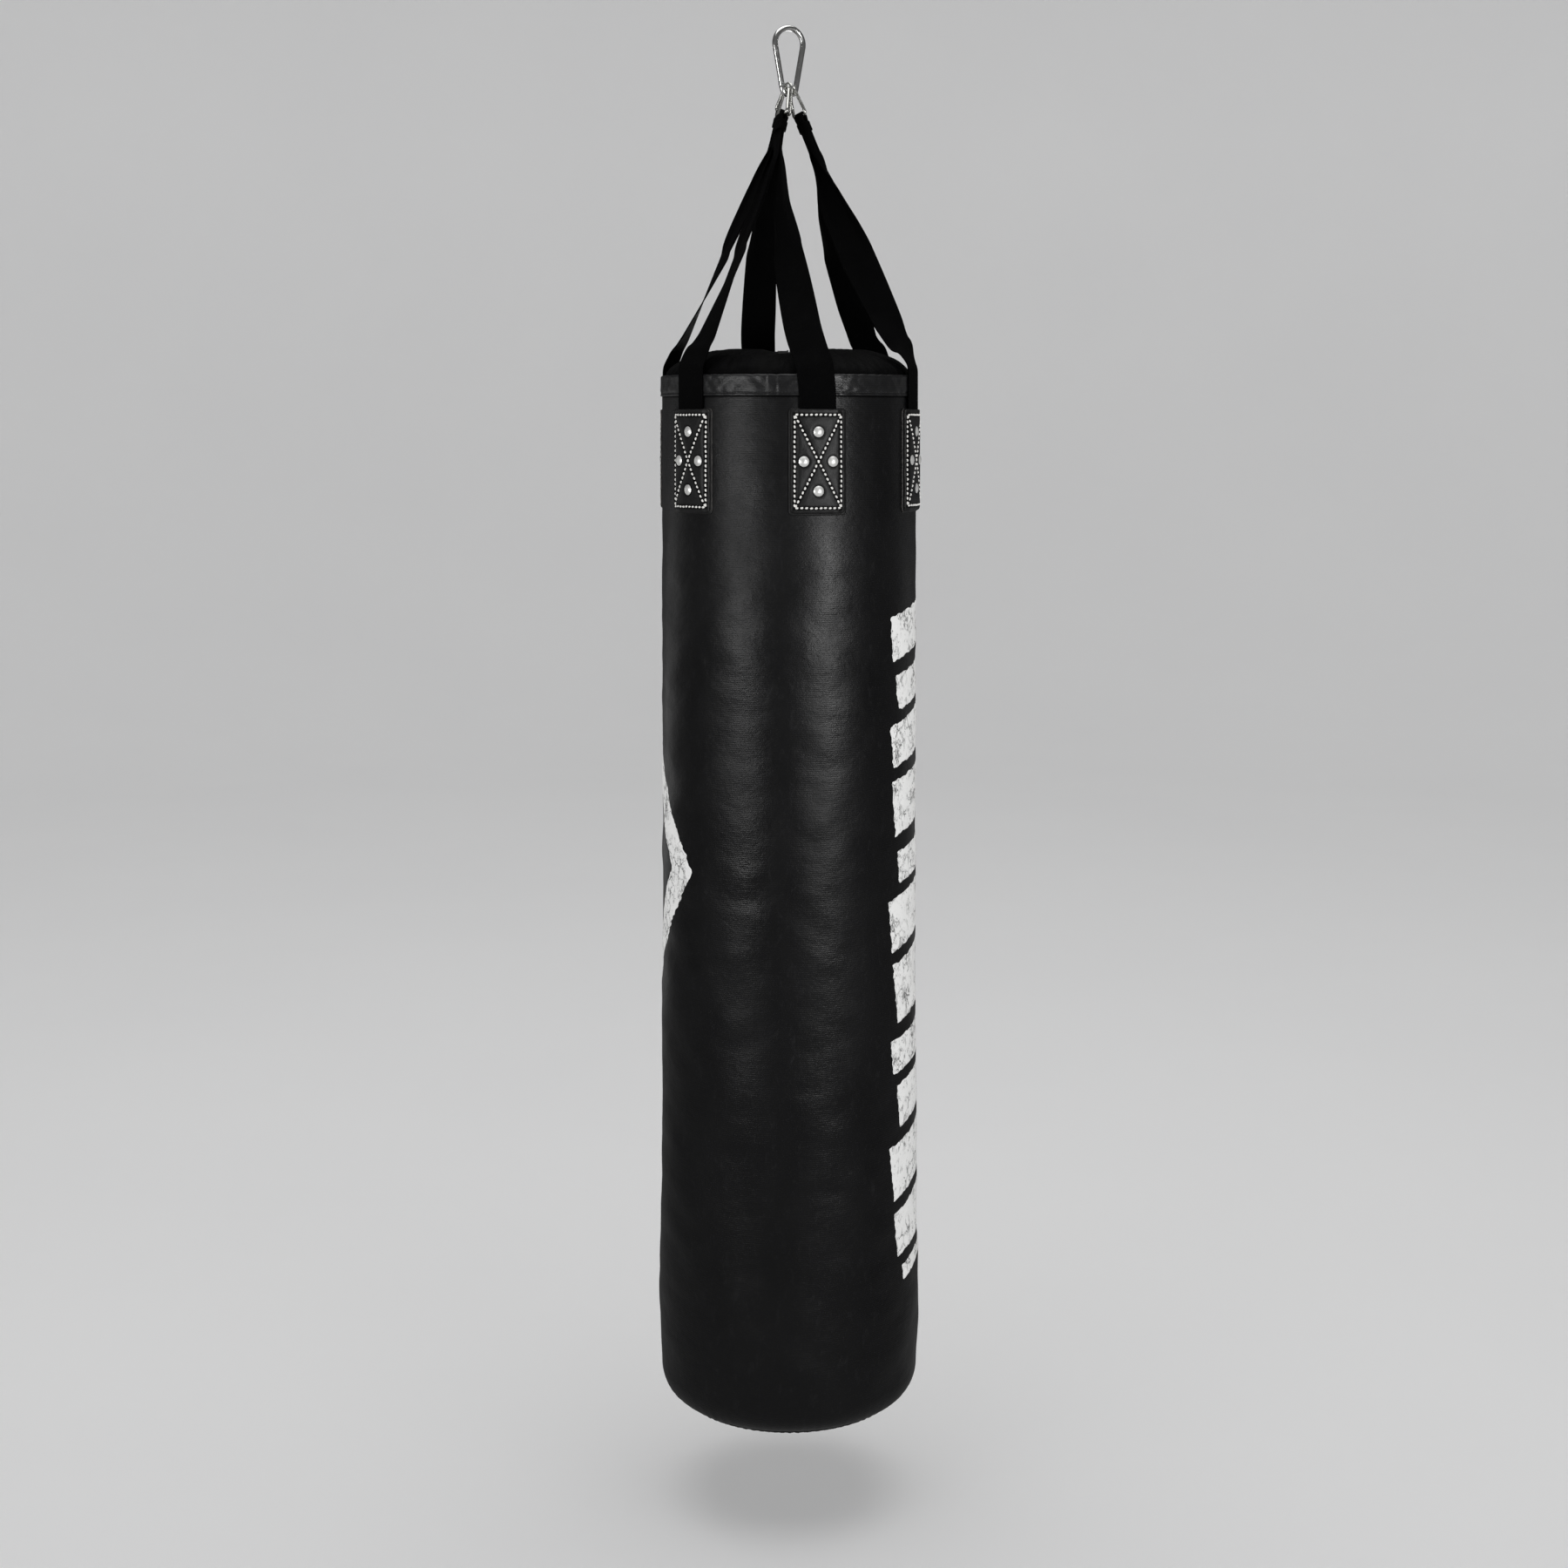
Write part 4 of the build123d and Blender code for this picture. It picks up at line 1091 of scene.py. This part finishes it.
def patch_surface(u, v):
    """Outer radius of a patch at u across and v up from its middle."""
    seam, box = patch_seams(u, v)
    drop = 1.95 * smooth(np.abs(u), 26.0, 33.5)
    foot = 1.2 * smooth(v, -PATCH_H / 2 + 4.5, -PATCH_H / 2)
    rounded = 0.75 * (1 - smooth(patch_rim(u, v), 0.0, 1.6)) ** 2
    groove = 0.55 * np.exp(-((seam / 1.5) ** 2))
    puff = 0.55 * smooth(seam, 1.5, 9.0) * (box < 0)
    dimple = near_rivets(u, v, RIVET_HEAD_R + 0.4, RIVET_HEAD_R + 4.5)
    body = PATCH_BASE_R + PATCH_T + (puff - groove) * (1 - dimple) - 0.12 * dimple
    return body - drop - foot - rounded


def patch_painted_shade(u, v):
    """1 in the seams and round the rivets of a patch, where painted shade darkens its leather."""
    seam, _ = patch_seams(u, v)
    return np.maximum(1 - smooth(seam, 1.2, 5.0), near_rivets(u, v, RIVET_HEAD_R, RIVET_HEAD_R + 3.2))


def rounded_grid(width, height, corner, cols, rows):
    """Grid over a rounded rectangle, its corner points pulled in on to the round corner."""
    u = np.linspace(-width / 2, width / 2, cols)[None].repeat(rows, 0)
    v = np.linspace(-height / 2, height / 2, rows)[:, None].repeat(cols, 1)
    dx = (np.abs(u) - (width / 2 - corner)) / corner
    dy = (np.abs(v) - (height / 2 - corner)) / corner
    inside = (dx > 0) & (dy > 0)
    big = np.maximum(dx, dy)
    small = np.minimum(dx, dy)
    part = np.where(inside, np.pi / 4 * small / np.where(inside, big, 1), 0)
    part = np.where(dy > dx, np.pi / 2 - part, part)
    new_u = width / 2 - corner + corner * big * np.cos(part)
    new_v = height / 2 - corner + corner * big * np.sin(part)
    u = np.where(inside, np.sign(u) * new_u, u)
    v = np.where(inside, np.sign(v) * new_v, v)
    return u, v


def make_patch(index):
    """One leather patch, its rim a little wavy and its cut edge raw."""
    u, v = rounded_grid(PATCH_W, PATCH_H, PATCH_CORNER, 64, 114)
    tilt = np.random.default_rng(40 + index).normal(0, 0.15)
    radius = patch_surface(u, v)
    ripple = waves(60 + index, 10, (30, 70), (18, 70))(np.degrees(u / PATCH_BASE_R), v)
    radius = radius + 0.12 * ripple + 0.35 * smooth(patch_rim(u, v), 4, 0) * np.maximum(ripple, 0)
    angle = patch_angle(index) + np.degrees(u / PATCH_BASE_R)
    points = on_bag(angle, radius, PATCH_Z + v + tilt * u / 37)
    piece = add_grid(f"leather_patch_{index + 1}", points, [LEATHER, RAW_EDGE])
    # Painted shade for the leather: a point attribute, 1 in the seams and round the rivets.
    hollow = piece.data.attributes.new("hollow", "FLOAT", "POINT")
    hollow.data.foreach_set("value", patch_painted_shade(u, v).ravel())
    stand_in(thicken(piece, 2.1, rim_look=1), f"patch_{index + 1}")


def make_underlay(index):
    """The leather below a strap's end, set a little askew."""
    shift_u, shift_v = np.random.default_rng(80 + index).uniform(-0.6, 0.6, 2)
    u, v = rounded_grid(PATCH_W + 3.6, PATCH_H + 3.6, PATCH_CORNER, 40, 72)
    edge = np.maximum(np.abs(u) - (PATCH_W / 2 - 2), np.abs(v) - (PATCH_H / 2 - 2))
    lift = 0.25 * smooth(edge, 0, 4) * waves(90 + index, 8, (20, 60), (20, 60))(np.degrees(u / BAG_R), v)
    radius = BAG_R + 1.85 - 0.35 * smooth(edge, 2.6, 4.2) + np.minimum(lift, 0.1)
    angle = patch_angle(index) + np.degrees((u + shift_u) / BAG_R)
    points = on_bag(angle, radius, PATCH_Z + v + shift_v)
    piece = add_grid(f"leather_backing_{index + 1}", points, [LEATHER, RAW_EDGE])
    stand_in(thicken(piece, 1.7, rim_look=1), f"underlay_{index + 1}")


def line_marks(start, end, pitch):
    """Stitch places from start to end: across, up and direction."""
    start, end = np.array(start), np.array(end)
    length = np.linalg.norm(end - start)
    count = max(2, round(length / pitch))
    middle = (np.arange(count) + 0.5) / count
    spots = start + (end - start) * middle[:, None]
    way = np.degrees(np.arctan2(end[1] - start[1], end[0] - start[0]))
    return [(u, v, way) for u, v in spots]


def make_patch_stitches(index):
    """White stitches in a crossed box, each one slightly out of line."""
    u, v = STITCH_BOX_W / 2, STITCH_BOX_H / 2
    low_left, low_right, high_right, high_left = (-u, -v), (u, -v), (u, v), (-u, v)
    outline = [low_left, low_right, high_right, high_left, low_left]
    lines = list(zip(outline, outline[1:])) + [(low_left, high_right), (low_right, high_left)]
    marks = np.array([mark for start, end in lines for mark in line_marks(start, end, 6.5)])
    marks += np.random.default_rng(120 + index).normal(0, 0.18, marks.shape) * (1, 1, 14)
    marks[:, 0] = patch_angle(index) + np.degrees(marks[:, 0] / PATCH_BASE_R)
    marks[:, 1] += PATCH_Z

    def leather(where, height):
        across = np.radians(where - patch_angle(index)) * PATCH_BASE_R
        return patch_surface(across, height - PATCH_Z) + 0.45

    name = f"patch_stitches_{index + 1}"
    sewn = stitches_on(name, marks, leather, WHITE_THREAD, 4.3, 1.38, 0.85, slant=10.0)


# Prints

def contour_sheet(name, field, angles, levels):
    """Thin ink film over the wall wherever the field is above zero."""
    around = np.arange(*angles, np.degrees(PRINT_STEP / BAG_R))
    heights = np.arange(*levels, PRINT_STEP)
    grid_a, grid_z = np.meshgrid(around, heights)
    value = field(grid_a, grid_z)
    value[[0, -1]] = -1.0
    value[:, [0, -1]] = -1.0
    inside = value > 0
    points, faces, known = [], [], {}

    def corner(r, c):
        if (r, c) not in known:
            known[r, c] = len(points)
            points.append((around[c], heights[r]))
        return known[r, c]

    def crossing(first, second):
        key = (min(first, second), max(first, second))
        if key not in known:
            share = np.clip(value[first] / (value[first] - value[second]), 0.08, 0.92)
            known[key] = len(points)
            angle = around[first[1]] + share * (around[second[1]] - around[first[1]])
            height = heights[first[0]] + share * (heights[second[0]] - heights[first[0]])
            points.append((angle, height))
        return known[key]

    touched = inside[:-1, :-1] | inside[1:, :-1] | inside[:-1, 1:] | inside[1:, 1:]
    for r, c in np.argwhere(touched):
        ring = [(r, c), (r, c + 1), (r + 1, c + 1), (r + 1, c)]
        face = []
        for here, after in zip(ring, ring[1:] + ring[:1]):
            if inside[here]:
                face.append(corner(*here))
            if inside[here] != inside[after]:
                face.append(crossing(here, after))
        if len(face) > 2:
            faces.append(face)
    angle, z = np.array(points).T
    piece = add_mesh(name, on_bag(angle, wall_radius(angle, z) + 0.22, z), faces, INK)
    thicken(piece, 0.3)


RAGS = waves(31, 30, (10, 60), (9, 34))
CHIPS = waves(32, 40, (40, 110), (6, 16))
# Middle height, height, left edge, right edge and slope of each bar.
BARS = [
    (-846, 62, 5, 190, 0.20), (-921, 48, 18, 150, 0.17), (-992, 58, 3, 196, 0.22),
    (-1077, 76, 9, 172, 0.18), (-1160, 44, 22, 196, 0.15), (-1236, 72, 2, 140, 0.21),
    (-1330, 82, 12, 192, 0.19), (-1414, 46, 4, 160, 0.16), (-1486, 60, 20, 196, 0.21),
    (-1571, 74, 3, 180, 0.18), (-1657, 60, 11, 140, 0.20), (-1713, 20, 26, 120, 0.18),
]
BARS_LEFT_ANGLE = 50.5
DIAMOND_ANGLE, DIAMOND_Z = -92.0, -1160.0
PRINT_STEP = 1.6


def ragged(clean, angle, z):
    """Roughens the edge of a print."""
    return clean + 0.9 * RAGS(angle, z) + 0.5 * CHIPS(angle, z)


def chipped(depth, angle, z):
    """Chips the middle of a print, the less the deeper it lies inside the print's edge."""
    return 3.4 * (1.75 - CHIPS(angle, z)) + 0.12 * np.maximum(depth, 0)


def bar_field(angle, z):
    """Plain slanted bars of uneven heights and lengths down the right side."""
    across = np.radians(angle - BARS_LEFT_ANGLE) * BAG_R
    best = np.full(np.shape(z), -np.inf)
    for middle, tall, left, right, slope in BARS:
        level = z - slope * across
        inside = np.minimum(tall / 2 - np.abs(level - middle), across - left - 0.12 * (middle - level))
        best = np.maximum(best, np.minimum(inside, right - across))
    return np.minimum(ragged(best, angle, z), chipped(best, angle, z))


def diamond_field(angle, z):
    """A plain long diamond with a narrow diamond cut out of it, on the left side."""
    across = np.radians(np.abs(turn_between(angle, DIAMOND_ANGLE))) * BAG_R
    up = np.abs(z - DIAMOND_Z)
    outer = (1 - across / 138 - up / 190) * 100
    inner = (across / 82 + up / 128 - 1) * 66
    rough = ragged(np.minimum(outer, inner), angle, z)
    return np.minimum(rough, chipped(rough, angle, z))


def make_prints():
    contour_sheet("print_bars", bar_field, (46.0, 118.0), (-1740, -780))
    contour_sheet("print_diamond", diamond_field, (-140.0, -44.0), (-1364, -956))


# Hidden layers

def add_turned(name, profile, look, relief, cols=120):
    """A closed turned body with a soft relief away from its middle."""
    angle = turns(cols)
    radius, z = np.array(profile).T[:, :, None]
    radius = np.maximum(radius + relief(angle, z) * (radius > 20), 0.0)
    return face_outwards(add_grid(name, on_bag(angle, radius, z), look, close_cols=True), merge=True)


def corner_line(outer_r):
    """Underside and round corner of a hidden layer, from the bag's axis up to the layer's wall."""
    small = outer_r - (BAG_R - CORNER_R)
    part = np.linspace(-np.pi / 2, 0, 9)
    corner = [(BAG_R - CORNER_R + small * np.cos(p), CORNER_Z + small * np.sin(p)) for p in part]
    return [(0.0, CORNER_Z - small)] + corner


def make_liner():
    """The thin inner bag, slack inside the wall."""
    liner_r, liner_t = 173.7, 1.0
    levels = np.linspace(CORNER_Z + 10, HEM_LOW_Z - 2.5, 90)
    outer = corner_line(liner_r) + [(liner_r, level) for level in levels]
    inner = corner_line(liner_r - liner_t) + [(liner_r - liner_t, level) for level in levels]

    def slack(angle, z):
        return -0.35 * (1 + np.clip(DENTS(angle, z), -1, 1))

    piece = add_turned("liner_sleeve", outer + inner[::-1], LINER_CLOTH, slack)
    stand_in(piece, "liner")


def make_filling():
    """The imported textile, held 12 below the cover and lower still at its edge."""
    fill_r, neck_r = 171.5, 168.0
    body = corner_line(fill_r) + [(fill_r, level) for level in np.linspace(CORNER_Z + 10, -520, 110)]
    for radius in np.concatenate([np.linspace(neck_r, 140.0, 10), np.linspace(130.0, 10.0, 14), [0.0]]):
        body.append((radius, min(crown_height(radius) - 12.0, -494.0 + (neck_r - radius) * 2)))

    def packed(angle, z):
        return -0.9 * (1 + np.clip(0.6 * DENTS(angle, z) + 0.5 * HEM_FOLDS(angle, z), -1, 1))

    stand_in(add_turned("textile_filling", body, SHREDS, packed), "filling")


def make_seam_strip():
    """The strip behind the back seam."""
    z = np.linspace(CORNER_Z, HEM_LOW_Z - 2, 120)[:, None]
    across = np.linspace(-12, 12, 9)[None]
    radius = 175.6 + 0.15 * np.sin(z / 9 + across)
    points = on_bag(SEAM_ANGLE + np.degrees(across / BAG_R), radius, z)
    stand_in(thicken(add_grid("seam_backing", points, LINER_CLOTH), 1.2), "seam_strip")


# Studio

CAMERA_Y_M = -3.177
CAMERA_Z_M = -0.542
LENS = 51.92
RISE_SHIFT = -0.2343
SIDE_SHIFT = -0.0032
FLOOR_Z = -2045.0


def make_bowl():
    """Pale paper floor that curves up into distant walls."""
    flat_r, bend_r = 6500, 3000
    bend = np.linspace(0.05, np.pi / 2, 16)
    wall_r = flat_r + bend_r
    radius = [np.linspace(0, flat_r, 14), flat_r + bend_r * np.sin(bend), [wall_r, wall_r]]
    rise = [np.zeros(14), bend_r * (1 - np.cos(bend)), [7000, 11000]]
    radius, rise = np.concatenate(radius)[:, None], np.concatenate(rise)[:, None]
    angle = turns(96)
    points = on_bag(angle, radius, FLOOR_Z + rise)[::-1]
    bowl = add_grid("studio_floor", points, PAPER, body=None, close_cols=True)
    bowl.visible_glossy = False


def soft_light(name, angle, distance_m, z_m, width_m, height_m, power):
    """Upright softbox that faces the bag's axis, at an angle round the bag."""
    data = bpy.data.lights.new(name, "AREA")
    data.shape = "RECTANGLE"
    data.size = width_m
    data.size_y = height_m
    data.energy = power
    light = bpy.data.objects.new(name, data)
    place = on_bag(angle, distance_m / MM, z_m / MM) * MM
    light.location = place
    aim = Vector((0, 0, z_m)) - Vector(place)
    light.rotation_euler = aim.to_track_quat("-Z", "Z").to_euler()
    bpy.context.collection.objects.link(light)
    return light


def spare_floor(light):
    """Keeps a highlight lamp off the studio paper."""
    group = bpy.data.collections.new("spared_by_" + light.name)
    light.light_linking.receiver_collection = group
    group.objects.link(bpy.data.objects["studio_floor"])
    group.collection_objects[0].light_linking.link_state = "EXCLUDE"


def make_lights():
    """Narrow softboxes for the vinyl's highlights, and one wide light over the whole studio."""
    highlights = [
        soft_light("soft_left", -43, 2.6, -0.80, 0.42, 1.2, 17),
        soft_light("soft_right", 33, 2.7, -0.80, 0.34, 0.8, 26),
        soft_light("rim_left", -128, 2.4, -1.0, 0.5, 2.8, 2.4),
        soft_light("rim_right", 130, 2.4, -1.0, 0.5, 2.8, 0.9),
        soft_light("back_soft", 180, 3.6, -1.0, 0.8, 2.0, 34),
    ]
    for light in highlights:
        spare_floor(light)
    overhead = soft_light("overhead", 20, 0.3, 3.6, 5.0, 5.0, 130)
    overhead.rotation_euler = (0, 0, 0)


def make_world():
    """Dim grey surroundings that only reflections see: brighter from the front and from below."""
    world = bpy.data.worlds.new("studio")
    world.use_nodes = True
    nodes, links = world.node_tree.nodes, world.node_tree.links
    toward = nodes.new("ShaderNodeSeparateXYZ")
    links.new(nodes.new("ShaderNodeTexCoord").outputs["Generated"], toward.inputs[0])
    strength = nodes.new("ShaderNodeMath")
    strength.operation = "MULTIPLY"
    fades = [("Y", (-0.8, 0.8), (0.11, 0.07)), ("Z", (-0.42, -0.10), (2.5, 1.0))]
    for socket, (axis, (start, end), (first, last)) in zip(strength.inputs, fades):
        fade = nodes.new("ShaderNodeMapRange")
        links.new(toward.outputs[axis], fade.inputs["Value"])
        for name, value in (("From Min", start), ("From Max", end), ("To Min", first), ("To Max", last)):
            fade.inputs[name].default_value = value
        links.new(fade.outputs[0], socket)
    links.new(strength.outputs[0], nodes["Background"].inputs["Strength"])
    nodes["Background"].inputs["Color"].default_value = (1, 1, 1, 1)
    bpy.context.scene.world = world


def shift_at_home(camera, shift, amount):
    """A lens shift that holds only at the camera's own place, so that other views stay centred."""
    curve = camera.data.driver_add(shift)
    variable = curve.driver.variables.new()
    variable.name = "place"
    variable.type = "SINGLE_PROP"
    variable.targets[0].id = camera
    variable.targets[0].data_path = "location[1]"
    curve.driver.type = "SCRIPTED"
    curve.driver.expression = f"{amount} if abs(place - ({CAMERA_Y_M})) < 0.001 else 0.0"


def make_camera():
    """A level camera with shifted lens, as the photo was taken."""
    data = bpy.data.cameras.new("camera")
    data.lens = LENS
    data.sensor_width = 36.0
    camera = bpy.data.objects.new("camera", data)
    camera.location = (0.0, CAMERA_Y_M, CAMERA_Z_M)
    camera.rotation_euler = (np.pi / 2, 0, 0)
    data.clip_end = 60.0
    bpy.context.collection.objects.link(camera)
    bpy.context.scene.camera = camera
    shift_at_home(camera, "shift_y", RISE_SHIFT)
    shift_at_home(camera, "shift_x", SIDE_SHIFT)


paint_cad()
make_shell()
make_back_seam()
make_bottom()
make_piping()
make_hem()
make_cover()
for zip_side, zip_word in ((-1, "left"), (1, "right")):
    make_zip_tape(zip_side, zip_word)
    make_zip_coil(zip_side, zip_word)
make_zip_stitches()
for loop in LOOPS:
    make_strap(loop)
    make_keeper(loop)
for patch in range(PATCH_COUNT):
    make_underlay(patch)
    make_patch(patch)
    make_patch_stitches(patch)
make_prints()
make_liner()
make_filling()
make_seam_strip()
make_bowl()
make_lights()
make_world()
make_camera()
bpy.context.scene.view_settings.view_transform = "Standard"
